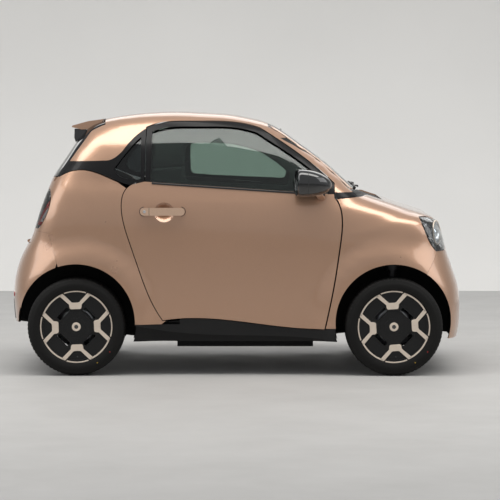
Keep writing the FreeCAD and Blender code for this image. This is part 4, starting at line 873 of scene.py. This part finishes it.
BOWL = [(0.004, 0.066), (0.006, 0.063), (-0.010, 0.052), (-0.026, 0.036), (-0.031, 0.020), (-0.032, 0.001)]
LENS = [(-0.024, 0.031), (-0.012, 0.030), (-0.004, 0.026), (0.002, 0.018), (0.005, 0.009), (0.006, 0.0005)]
LIGHT_RING = [(0.006, 0.066), (0.010, 0.067), (0.012, 0.071), (0.009, 0.075), (0.004, 0.074)]
DIP = [(0.002, 0.030), (-0.008, 0.025), (-0.018, 0.014), (-0.020, 0.001)]
for side_name, sign in SIDES:
    points, outer, rest = split_node("headlamps", sign, (0.8, 0.55 * sign, 0.2), 0.45)
    cover = part_of("headlamp_cover_" + side_name, points, outer, "clear")
    placed(thickened(cover, 0.003), "chassis", "lamp_clear")
    housing = part_of("headlamp_housing_" + side_name, points, rest, "gloss")
    placed(housing, "chassis", "lamp_clear")
    if sign > 0:
        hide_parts("headlamps")
    aim = Vector((0.93, 0.35 * sign, 0.08))
    axis = aim.normalized()
    lamp_tree = tree_of("headlamps")
    bowl_at = end_hit(lamp_tree, 0.600 * sign, 0.838, 1) - axis * 0.016
    dip_at = end_hit(lamp_tree, 0.490 * sign, 0.845, 1) - axis * 0.014
    for tag, profile, segments, centre, direction, finish, closed in (
            ("bowl", BOWL, 48, bowl_at, aim, "chrome", False),
            ("lens", LENS, 40, bowl_at, aim, "mirror_glass", False),
            ("light_ring", LIGHT_RING, 56, bowl_at - axis * 0.006, aim, "pale", True),
            ("dip", DIP, 36, dip_at, (1.0, 0.15 * sign, 0.05), "chrome", False)):
        turned_piece("headlamp_%s_%s" % (tag, side_name), profile, segments, centre, direction, finish,
                     "chassis", "lamp_clear", closed)

    points, outer, _ = split_node("tail_lamps", sign, (-0.8, 0.6 * sign, 0.2), 0.35)
    cover = part_of("tail_lamp_cover_" + side_name, points, outer, "clear")
    placed(thickened(cover, 0.004, 1.0), "chassis", "lamp_red")


# Seats

def apply_modifiers(made):
    graph = bpy.context.evaluated_depsgraph_get()
    mesh = bpy.data.meshes.new_from_object(made.evaluated_get(graph))
    old = made.data
    made.modifiers.clear()
    made.data = mesh
    bpy.data.meshes.remove(old)


def inflate(made, pressure, cap):
    """Blows the pad up as sewn cloth, and holds each point near where it started."""
    start = [v.co.copy() for v in made.data.vertices]
    modifier = made.modifiers.new("cloth", "CLOTH")
    settings = modifier.settings
    settings.quality = 4
    settings.mass = 0.3
    settings.use_pressure = True
    settings.uniform_pressure_force = pressure
    settings.effector_weights.gravity = 0.0
    for step in range(1, 21):
        scene.frame_set(step)
    graph = bpy.context.evaluated_depsgraph_get()
    swollen = [v.co.copy() for v in made.evaluated_get(graph).data.vertices]
    made.modifiers.clear()
    scene.frame_set(1)
    for vertex, here, there in zip(made.data.vertices, start, swollen):
        move = there - here
        if move.length > cap:
            move *= cap / move.length
        vertex.co = here + move
    made.data.update()


def pad(name, size, radius, form, seams):
    """Stuffed pad: a rounded block given its form, swollen, then sewn along its seams.
    A seam gives the distance of a point from it, in metres."""
    work = rounded_block(size, radius, 4)
    bmesh.ops.triangulate(work, faces=work.faces)
    made = object_from(work, name)
    apply_modifiers(modified(made, "remesh", "REMESH", mode="VOXEL", voxel_size=0.0075))
    for vertex in made.data.vertices:
        vertex.co = form(vertex.co)
    inflate(made, 4.0, 0.022)
    normals = [v.normal.copy() for v in made.data.vertices]
    for vertex, normal in zip(made.data.vertices, normals):
        near = min(seam(vertex.co) for seam in seams)
        vertex.co -= normal * 0.007 * math.exp(-(near / 0.006) ** 2)
    made.data.materials.clear()
    made.data.materials.append(MATERIALS["seat_cloth"])
    all_smooth(made.data)
    return modified(made, "subdivision", "SUBSURF", levels=1, render_levels=1)


def mirrored(made, name):
    """The same piece on the other side of the car."""
    other = made.copy()
    other.data = made.data.copy()
    other.name = name
    other.data.name = name
    for vertex in other.data.vertices:
        vertex.co.y = -vertex.co.y
    other.data.flip_normals()
    scene.collection.objects.link(other)
    return other


def lean(z):
    """How far back the backrest has gone at a height."""
    return 0.215 * (z - 0.59)


def cushion_form(co):
    x, y, z = co
    nose = max(0.0, (x - 0.10) / 0.12)
    z -= 0.020 * nose ** 2 if z > 0 else 0.0
    bolster = max(0.0, (abs(y) - 0.145) / 0.07)
    z += 0.022 * min(bolster, 1.0) if z > 0 else 0.0
    return Vector((x - 0.045, y + SEAT_Y, z + 0.520))


def backrest_form(co):
    x, y, z = co
    height = z + 0.860
    narrow = 1.0 - 0.16 * max(0.0, (z - 0.08) / 0.20) ** 2
    bolster = max(0.0, (abs(y) - 0.140) / 0.07)
    x += 0.028 * min(bolster, 1.0) if x > 0 else 0.0
    thin = 1.0 - 0.25 * (z + 0.28) / 0.56
    return Vector((x * thin - 0.338 - lean(height), y * narrow + SEAT_Y, height))


def headrest_form(co):
    x, y, z = co
    narrow = 1.0 - 0.18 * max(0.0, z / 0.08) ** 2
    height = z + 1.262
    return Vector((x - 0.300 - lean(height), y * narrow + SEAT_Y, height))


def across_seam(place):
    return lambda co: abs(abs(co.y - SEAT_Y) - place)


def level_seam(axis, place, half):
    """Distance from a seam across the middle of a pad; far away outside that middle."""
    return lambda co: abs(co[axis] - place) if abs(co.y - SEAT_Y) < half else 1.0


SEAT_PADS = (
    ("seat_cushion", (0.440, 0.440, 0.105), 0.030, cushion_form,
     (across_seam(0.140), level_seam(0, 0.085, 0.14), level_seam(0, -0.060, 0.14))),
    ("seat_backrest", (0.085, 0.430, 0.545), 0.030, backrest_form,
     (across_seam(0.130), level_seam(2, 0.800, 0.13), level_seam(2, 0.950, 0.13))),
    ("seat_headrest", (0.070, 0.245, 0.140), 0.028, headrest_form, (lambda co: abs(co.z - 1.262) + 0.004,)),
)
for name, size, radius, form, seams in SEAT_PADS:
    left = pad(name + "_left", size, radius, form, seams)
    right = mirrored(left, name + "_right")
    for made in (left, right):
        placed(made, "chassis", "seat_cloth")
    if name == "seat_cushion":
        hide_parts("seats")
for side_name, sign in SIDES:
    fixed_box("seat_base_" + side_name, (-0.045, SEAT_Y * sign, 0.355), (0.360, 0.340, 0.225), "cabin", 0.02)
    for tag, place in (("outer", 0.212), ("inner", -0.212)):
        fixed_box("seat_shield_%s_%s" % (tag, side_name), (-0.10, (SEAT_Y + place) * sign, 0.455),
                  (0.34, 0.018, 0.070), "cabin", 0.008)
    posts = []
    for offset in (-0.055, 0.055):
        low, high = 1.115, 1.215
        posts.append(tube([Vector((-0.315 - lean(z), SEAT_Y * sign + offset, z))
                           for z in (low, (low + high) / 2, high)], 0.006))
    piece("headrest_posts_" + side_name, join_lists(posts), "silver", "chassis", "running_steel")


# Steering wheel and dashboard

RAKE = math.radians(24)
WHEEL_AT = Vector((0.215, SEAT_Y, 0.905))
WHEEL_AXIS = Vector((math.cos(RAKE), 0, -math.sin(RAKE)))
WHEEL_UP = Vector((math.sin(RAKE), 0, math.cos(RAKE)))
ACROSS = Vector((0, 1, 0))


def wheel_place(out, a, b):
    return WHEEL_AT - WHEEL_AXIS * out + ACROSS * a + WHEEL_UP * b


rim_section = [(0.0145 * math.cos(math.radians(a)), 0.180 + 0.0155 * math.sin(math.radians(a)))
               for a in range(0, 360, 24)]
piece("steering_rim", lathe(rim_section, 96, wheel_place), "wheel_leather", "steering_column",
      "cabin_plastic", "steering_wheel")
boss = [(0.026, 0.001), (0.026, 0.022), (0.024, 0.040), (0.018, 0.052), (0.006, 0.059), (-0.012, 0.059),
        (-0.014, 0.001)]
piece("steering_boss", lathe(boss, 48, lambda o, a, b: wheel_place(o, a * 1.15, b)), "cabin",
      "steering_column", "cabin_plastic")


def spoke(outline, angle, low, high):
    """Flat bar in the wheel's plane, turned to its angle."""
    return prism_points(turned_outline(outline, angle), low, high, lambda u, v, o: wheel_place(o, u, v))


def spoke_outline(width):
    return [(0.045, -width * 0.60), (0.045, width * 0.60), (0.110, width * 0.42), (0.172, width * 0.50),
            (0.172, -width * 0.50), (0.110, -width * 0.42)]


BAR = [(0.062, -0.016), (0.062, 0.016), (0.150, 0.012), (0.150, -0.012)]
LEVEL_ANGLES = (0.06, math.pi - 0.06)
spokes = [spoke(spoke_outline(width), angle, -0.004, 0.010)
          for angle, width in ((LEVEL_ANGLES[0], 0.050), (LEVEL_ANGLES[1], 0.050), (-math.pi / 2, 0.042))]
piece("steering_spokes", join_lists(spokes), "cabin", "steering_column", "cabin_plastic", bevel=0.003,
      segments=3, smooth=False)
bars = [spoke(BAR, angle, 0.009, 0.0125) for angle in LEVEL_ANGLES]
piece("steering_trim_bars", join_lists(bars), "silver", "steering_column", "cabin_plastic", bevel=0.0015,
      smooth=False)

TILT = math.radians(-18)
fixed_box("instrument_hood", (0.405, SEAT_Y, 1.045), (0.150, 0.270, 0.075), "cabin", 0.030)
fixed_box("instrument_face", (0.334, SEAT_Y, 1.040), (0.014, 0.225, 0.058), "screen", 0.005, tilt=TILT)
fixed_box("centre_screen_frame", (0.378, 0.0, 1.020), (0.030, 0.230, 0.150), "cabin", 0.012, tilt=TILT)
fixed_box("centre_screen", (0.362, 0.0, 1.022), (0.010, 0.195, 0.120), "screen", 0.004, tilt=TILT)
fixed_box("climate_panel", (0.385, 0.0, 0.900), (0.060, 0.200, 0.060), "silver", 0.012)
fixed_box("dashboard_band", (0.400, -0.30, 0.945), (0.060, 0.420, 0.090), "seat_side", 0.025)
fixed_box("tunnel_console", (0.16, 0.0, 0.335), (0.560, 0.150, 0.190), "cabin", 0.030)
fixed_box("console_tray", (0.27, 0.0, 0.432), (0.230, 0.115, 0.020), "gloss", 0.008)
fixed_box("gear_lever", (0.145, 0.0, 0.480), (0.045, 0.045, 0.110), "cabin", 0.018)
fixed_box("cabin_mirror", (0.255, 0.0, 1.372), (0.030, 0.230, 0.060), "cabin", 0.013)
fixed_box("cabin_mirror_face", (0.2385, 0.0, 1.372), (0.003, 0.205, 0.046), "mirror_glass", 0.0013)
stem = tube(smooth_path([(0.262, 0, 1.385), (0.275, 0, 1.415), (0.262, 0, 1.447)], 4), 0.008)
piece("cabin_mirror_stem", stem, "cabin", "chassis", "cabin_plastic")
VENT = [(0.000, 0.047), (0.010, 0.046), (0.012, 0.040), (0.004, 0.036), (0.002, 0.012), (0.008, 0.010),
        (0.008, 0.001)]
for place in (-0.485, 0.150, -0.150, 0.510):
    centre = (0.404, place, 1.000 if abs(place) > 0.3 else 0.965)
    turned_piece("air_vent_%d" % round((place + 1) * 100), VENT, 36, centre, (-1, 0, 0.15), "silver", "chassis",
                 "cabin_plastic")
for side_name, sign in SIDES:
    body = "door_assembly_" + side_name
    door_tree = tree_of("door_" + side_name)

    def inside(x, z, tree=door_tree, sign=sign):
        place = tree.ray_cast(Vector((x, 0.30 * sign, z)), Vector((0, sign, 0)))[0]
        return None if place is None else place - Vector((0, sign * 0.003, 0))

    lower = [(0.470, 0.42), (0.25, 0.40), (0.0, 0.40), (-0.30, 0.42), (-0.40, 0.50)]
    upper = [(0.500, 1.02), (0.25, 1.045), (0.0, 1.06), (-0.30, 1.075), (-0.53, 1.06)]
    card = skin_patch("door_card_" + side_name, inside, lower, upper, 12, "seat_side", 0.005)
    placed(card, body, "cabin_plastic")
    fixed_box("door_armrest_" + side_name, (-0.06, 0.652 * sign, 0.775), (0.440, 0.060, 0.055), "cabin", 0.022,
              body=body)
    fixed_box("door_pull_" + side_name, (0.235, 0.668 * sign, 0.860), (0.120, 0.014, 0.030), "chrome", 0.006,
              body=body)
    speaker = [(0.0, 0.085), (0.006, 0.083), (0.008, 0.076), (0.004, 0.070), (0.006, 0.035), (0.007, 0.001)]
    turned_piece("door_speaker_" + side_name, speaker, 44, (0.300, 0.674 * sign, 0.560), (0, -sign, 0), "trim",
                 body, "cabin_plastic")


# Outer details

MIRROR_LOW, MIRROR_HIGH = Vector((0.352, 0.740, 1.058)), Vector((0.560, 0.940, 1.221))


AROUND = 40


def mirror_outline(t, sign):
    """One ring of the mirror housing, from the glass (t = 0) to the nose (t = 1)."""
    x = MIRROR_LOW.x + (MIRROR_HIGH.x - MIRROR_LOW.x) * t
    swell = max(1.0 - t ** 2.3, 0.0) ** 0.5
    swell *= 0.955 + 0.045 * min(t / 0.10, 1.0)
    middle_y = (MIRROR_LOW.y + MIRROR_HIGH.y) / 2 - 0.030 * t ** 2
    middle_z = (MIRROR_LOW.z + MIRROR_HIGH.z) / 2 - 0.014 * t ** 2
    half_y = (MIRROR_HIGH.y - MIRROR_LOW.y) / 2 * max(swell, 0.03)
    half_z = (MIRROR_HIGH.z - MIRROR_LOW.z) / 2 * max(swell, 0.03)
    ring = []
    for k in range(AROUND):
        a = 2 * math.pi * k / AROUND
        wide = math.copysign(abs(math.cos(a)) ** 0.66, math.cos(a))
        tall = math.copysign(abs(math.sin(a)) ** 0.74, math.sin(a))
        shear = 0.010 * wide
        ring.append(Vector((x + shear * (1 - t), sign * (middle_y + wide * half_y), middle_z + tall * half_z)))
    return ring


def mirror_pieces(side_name, sign):
    """Rounded gloss housing round a recessed glass, on a short painted foot."""
    rows, body = 16, "door_assembly_" + side_name
    first = mirror_outline(0.0, sign)
    middle = sum(first, Vector()) / AROUND
    rings = [[p.lerp(middle, 0.075) + Vector((0.010, 0, 0)) for p in first],
             [p.lerp(middle, 0.045) for p in first]]
    rings += [mirror_outline(1.0 - (1.0 - i / rows) ** 1.4, sign) for i in range(rows + 1)]
    form = [p for ring in rings for p in ring], capped_rings(len(rings), AROUND)
    piece("mirror_housing_" + side_name, form, "gloss", body, "gloss_black", "mirror_" + side_name)
    pane = [p.lerp(middle, 0.090) + Vector((0.0085, 0, 0)) for p in first]
    pane_faces = [(k, (k + 1) % AROUND, AROUND) for k in range(AROUND)]
    face = make("mirror_face_" + side_name, pane + [middle + Vector((0.0070, 0, 0))], pane_faces,
                "mirror_glass")
    placed(thickened(outward(face), 0.0015), body, "gloss_black")
    seam = mirror_outline(0.30, sign)
    path = [p.lerp(middle + Vector((0.045, 0, 0)), 0.004) for p in seam + seam[:1]]
    piece("mirror_seam_" + side_name, tube(path, 0.0012, 6), "seal", body, "gloss_black")
    stalk = smooth_path([(0.500, 0.762 * sign, 1.046), (0.494, 0.790 * sign, 1.056),
                         (0.482, 0.824 * sign, 1.072)], 6)
    piece("mirror_foot_" + side_name, tube(stalk, 0.024, 20, 0.50), "paint", body, "body_paint")


for side_name, sign in SIDES:
    mirror_pieces(side_name, sign)
    body = "door_assembly_" + side_name
    low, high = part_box("door_handle_" + side_name)
    middle_z = (low[2] + high[2]) / 2
    outer_y = max(abs(low[1]), abs(high[1]))
    fixed_box("handle_groove_" + side_name, (-0.514, (outer_y - 0.0070) * sign, middle_z),
              (0.0022, 0.0150, high[2] - low[2] + 0.0012), "seal", 0.0007, "black_trim", body=body, segments=2)
    lock = [(0.0, 0.0085), (0.0012, 0.0080), (0.0014, 0.0045), (0.0006, 0.0040), (0.0006, 0.0005)]
    turned_piece("handle_lock_" + side_name, lock, 28, (-0.541, (outer_y + 0.0002) * sign, middle_z),
                 (0, sign, 0), "silver", body, "black_trim")
    # Dark rings round both ends of the handle, lying on the door skin: painted shadow for the gap round the
    # handle.
    door_skin = tree_of("door_" + side_name)
    half_x, half_z = (high[0] - low[0]) / 2 + 0.0040, (high[2] - low[2]) / 2 + 0.0040
    centre_x = (low[0] + high[0]) / 2
    outline = []
    for k in range(72):
        a = 2 * math.pi * k / 72
        straight = (half_x - half_z) * (1 if math.cos(a) > 0 else -1)
        if abs(math.cos(a)) < 0.02:
            straight = 0.0
        outline.append((centre_x + straight + half_z * math.cos(a), middle_z + half_z * math.sin(a)))
    rim_path = [side_hit(door_skin, x, z, sign, 0.0008) for x, z in outline]
    rim_path = [p for p in rim_path if p and abs(p.x - HANDLE_X) > HANDLE_BRIDGE]
    for end, keep in (("front", 1), ("rear", -1)):
        part = [p for p in rim_path if (p.x - HANDLE_X) * keep > 0]
        part.sort(key=lambda p: math.atan2(p.z - middle_z, (p.x - centre_x) * keep))
        piece("handle_gap_shade_%s_%s" % (end, side_name), tube(part, 0.0016, 6), "seal", body, "black_trim")


def belt_curve(offset, places):
    return [(x, BELT_SLOPE * x + BELT_HEIGHT + offset) for x in places]


for side_name, sign in SIDES:
    door_tree = tree_of("door_" + side_name)

    def on_door(x, z, tree=door_tree, sign=sign):
        return side_hit(tree, x, z, sign, 0.0015)

    places = [0.52 - 0.17 * k for k in range(7)]
    strip = skin_patch("belt_strip_" + side_name, on_door, belt_curve(-0.012, places),
                       belt_curve(0.004, places), 3, "seal", 0.004)
    placed(strip, "door_assembly_" + side_name, "black_trim")


OPENING = [(-0.305, 1.235), (-0.303, 1.331), (-0.284, 1.364), (-0.242, 1.376), (-0.165, 1.378), (-0.082, 1.374),
           (-0.001, 1.364), (0.127, 1.328), (0.182, 1.297), (0.228, 1.266), (0.272, 1.231), (0.304, 1.200),
           (0.310, 1.160), (0.294, 1.127), (0.220, 1.128), (0.127, 1.132), (-0.017, 1.139), (-0.146, 1.145),
           (-0.242, 1.151), (-0.284, 1.155), (-0.302, 1.178), (-0.305, 1.235)]


def window_surround(side_name, sign):
    """Dark inner frame behind a door glass, with the rounded opening that is seen through both sides."""
    pane = tree_of("door_glass_" + side_name)
    inner = [(point.x, point.y) for point in smooth_path([(x, z, 0) for x, z in OPENING], 4)]
    outer = []

    def widened(x, z, reach):
        return x * (1 + reach), 1.25 + (z - 1.25) * (1 + reach)

    for x, z in inner:
        reach = 0.0
        while reach < 1.5 and side_hit(pane, *widened(x, z, reach), sign):
            reach += 0.01
        outer.append(widened(x, z, max(reach - 0.01, 0.0)))
    frame_piece = skin_patch("window_surround_" + side_name, lambda x, z: side_hit(pane, x, z, sign, -0.011),
                             inner, outer, 8, "seal", 0.003, 1)
    placed(frame_piece, "door_assembly_" + side_name, "black_trim")


for side_name, sign in SIDES:
    window_surround(side_name, sign)


def ends_of(name, sign):
    """Outer and inner end points of the wiper on one side, from the solid's own points."""
    points = [v.co for v in nodes[name].data.vertices if v.co.y * sign > 0]
    reaches = [abs(p.y) for p in points]
    ends = []
    for limit in (max(reaches), min(reaches)):
        group = [p for p in points if abs(abs(p.y) - limit) < 0.01]
        ends.append(sum(group, Vector()) / len(group))
    return ends


SCREEN = tree_of("windscreen")
screen_points = [v.co for v in nodes["windscreen"].data.vertices]
rows_z = [1.085 + 0.0405 * k for k in range(11)]


def screen_edge(z, sign):
    """Outermost place of the windscreen at a height."""
    near = [abs(p.y) for p in screen_points if p.y * sign > 0 and abs(p.z - z) < 0.022]
    return max(near) if near else None


for side_name, sign in SIDES:
    edges = [(screen_edge(z, sign), z) for z in rows_z]
    edges = [(y, z) for y, z in edges if y]
    outer_edge = [(sign * (y - 0.0025), z) for y, z in edges]
    inner_edge = [(sign * (y - 0.050), z) for y, z in edges]
    cover = skin_patch("pillar_cover_" + side_name, lambda y, z: end_hit(SCREEN, y, z, 1, 0.0012), outer_edge,
                       inner_edge, 5, "paint", 0.0015, 4)
    placed(cover, "chassis", "body_paint")

wiper_parts = []
for sign in (1, -1):
    outer_end, inner_end = ends_of("wipers", sign)
    middle = outer_end.lerp(inner_end, 0.5) + Vector((0.006, 0, 0.004))
    blade = [outer_end.lerp(inner_end, t) for t in (0.0, 0.12, 0.5, 0.88, 1.0)]
    wiper_parts.append(tube(blade, 0.0055, 8, 1.5))
    foot = (outer_end if sign > 0 else inner_end) + Vector((0.030, 0, -0.012))
    wiper_parts.append(tube(smooth_path([foot, foot.lerp(middle, 0.35) + Vector((0.004, 0, 0.004)), middle], 5),
                            0.0065, 8, 0.6))
piece("wiper_blades", join_lists(wiper_parts), "seal", "chassis", "black_trim", "wipers")


def end_patch(name, tree, sign, first, second, rows, finish, lift, depth, slot="black_trim", steps=6):
    made = skin_patch(name, lambda y, z: end_hit(tree, y, z, sign, lift), first, second, rows, finish, depth,
                      steps)
    return placed(made, "chassis", slot)


def row_of(z, half):
    return [(-half + 2 * half * k / 8, z) for k in range(9)]


end_patch("rear_lower_panel", REAR_END, -1, row_of(0.318, 0.50), row_of(0.430, 0.46), 6, "trim", 0.0006, 0.004)
for k in range(3):
    z = 0.342 + 0.026 * k
    end_patch("rear_slot_%d" % k, REAR_END, -1, row_of(z, 0.36), row_of(z + 0.012, 0.36), 1, "seal", 0.0014,
              0.002)
for side_name, sign in SIDES:
    low, high = ([(sign * (0.470 + 0.018 * k), z) for k in range(5)] for z in (0.452, 0.478))
    end_patch("rear_reflector_" + side_name, REAR_END, -1, low, high, 2, "red", 0.0015, 0.004, "lamp_red", 2)

for name, tree, sign, z in (("rear", REAR_END, -1, 0.650), ("front", FRONT_END, 1, 0.552)):
    end_patch(name + "_plate_holder", tree, sign, row_of(z - 0.064, 0.268), row_of(z + 0.064, 0.268), 6, "trim",
              0.0006, 0.004)
    end_patch(name + "_plate", tree, sign, row_of(z - 0.055, 0.259), row_of(z + 0.055, 0.259), 6, "plate",
              0.0022, 0.002, "lamp_clear")
fixed_box("high_brake_lamp", (-0.9860, 0, 1.4665), (0.004, 0.240, 0.007), "red", 0.0015, "lamp_red",
          body="hatch")

for side_name, sign in SIDES:
    fin = [(-0.972, 1.455), (-0.900, 1.449), (-0.905, 1.430), (-0.965, 1.372), (-0.974, 1.400)]
    form = prism_points(fin, 0.484, 0.494, lambda u, v, o, sign=sign: Vector((u, sign * o, v)))
    piece("spoiler_fin_" + side_name, form, "gloss", "hatch", "gloss_black", bevel=0.003, smooth=False)


# Camera, floor and light

def floor_material():
    made, tree, shader = new_material("pale_floor")
    grain = to_range(tree, noise(tree, 1.6, 8.0, 0.6), 0.0, 1.0)
    feed(tree, shader, Base_Color=mix_colour(tree, grain, (0.400, 0.395, 0.385), (0.455, 0.450, 0.440)),
         Roughness=to_range(tree, noise(tree, 4.0, 6.0), 0.55, 0.72))
    return made


def backdrop_material():
    """Pale wall that shows only from its front."""
    made, tree, shader = new_material("pale_wall")
    back = node(tree, "ShaderNodeNewGeometry").outputs["Backfacing"]
    feed(tree, shader, Roughness=0.9, Alpha=math_node(tree, "SUBTRACT", 1.0, back),
         Base_Color=mix_colour(tree, noise(tree, 0.8, 6.0), (0.70, 0.69, 0.67), (0.76, 0.75, 0.73)))
    return made


def add_lamp(name, place, target, size, power, colour=(1.0, 1.0, 1.0)):
    data = bpy.data.lights.new(name, "AREA")
    data.shape = "RECTANGLE"
    data.size, data.size_y = size
    data.energy = power
    data.color = colour
    made = bpy.data.objects.new(name, data)
    made.location = place
    made.rotation_euler = (Vector(target) - Vector(place)).to_track_quat("-Z", "Y").to_euler()
    scene.collection.objects.link(made)


def build_stage():
    data = bpy.data.cameras.new("photo_camera")
    data.lens = 186.2
    data.sensor_width = 36.0
    data.clip_end = 200.0
    camera = bpy.data.objects.new("photo_camera", data)
    camera.location = (0.079, -16.0, 1.62)
    camera.rotation_euler = (math.radians(90 - 3.30), 0, 0)
    scene.collection.objects.link(camera)
    scene.camera = camera

    MATERIALS["floor"] = floor_material()
    MATERIALS["wall"] = backdrop_material()
    reach, wall = 45.0, 9.0
    corners = [(-reach, -reach, 0), (reach, -reach, 0), (reach, reach, 0), (-reach, reach, 0)]
    floor = make("studio_floor", corners, [(0, 1, 2, 3)], "floor", smooth=False)
    curve = [(wall - 3.0 + 3.0 * math.sin(a * math.pi / 24), 3.002 - 3.0 * math.cos(a * math.pi / 24))
             for a in range(0, 13)] + [(wall, 14.0)]
    points = [(x, y, z) for y, z in curve for x in (-30.0, 30.0)]
    backdrop = make("studio_backdrop", points, grid_faces(len(curve), 2), "wall")

    world = bpy.data.worlds.new("studio")
    scene.world = world
    world.use_nodes = True
    background = world.node_tree.nodes["Background"]
    background.inputs["Color"].default_value = (0.96, 0.98, 1.0, 1.0)
    background.inputs["Strength"].default_value = 0.50

    add_lamp("shoulder", (0.0, -1.9, 6.6), (0, -0.6, 0.8), (13.0, 2.6), 520.0, (1.0, 0.975, 0.94))
    add_lamp("front_side", (9.0, -2.0, 4.5), (0, 0, 0.7), (6.0, 5.0), 150.0)
    add_lamp("rear_side", (-9.0, -2.0, 4.5), (0, 0, 0.7), (6.0, 5.0), 150.0)
    add_lamp("far_side", (0.0, 7.0, 6.0), (0, 0, 0.7), (14.0, 4.0), 230.0)


build_stage()
scene.view_settings.view_transform = "Standard"
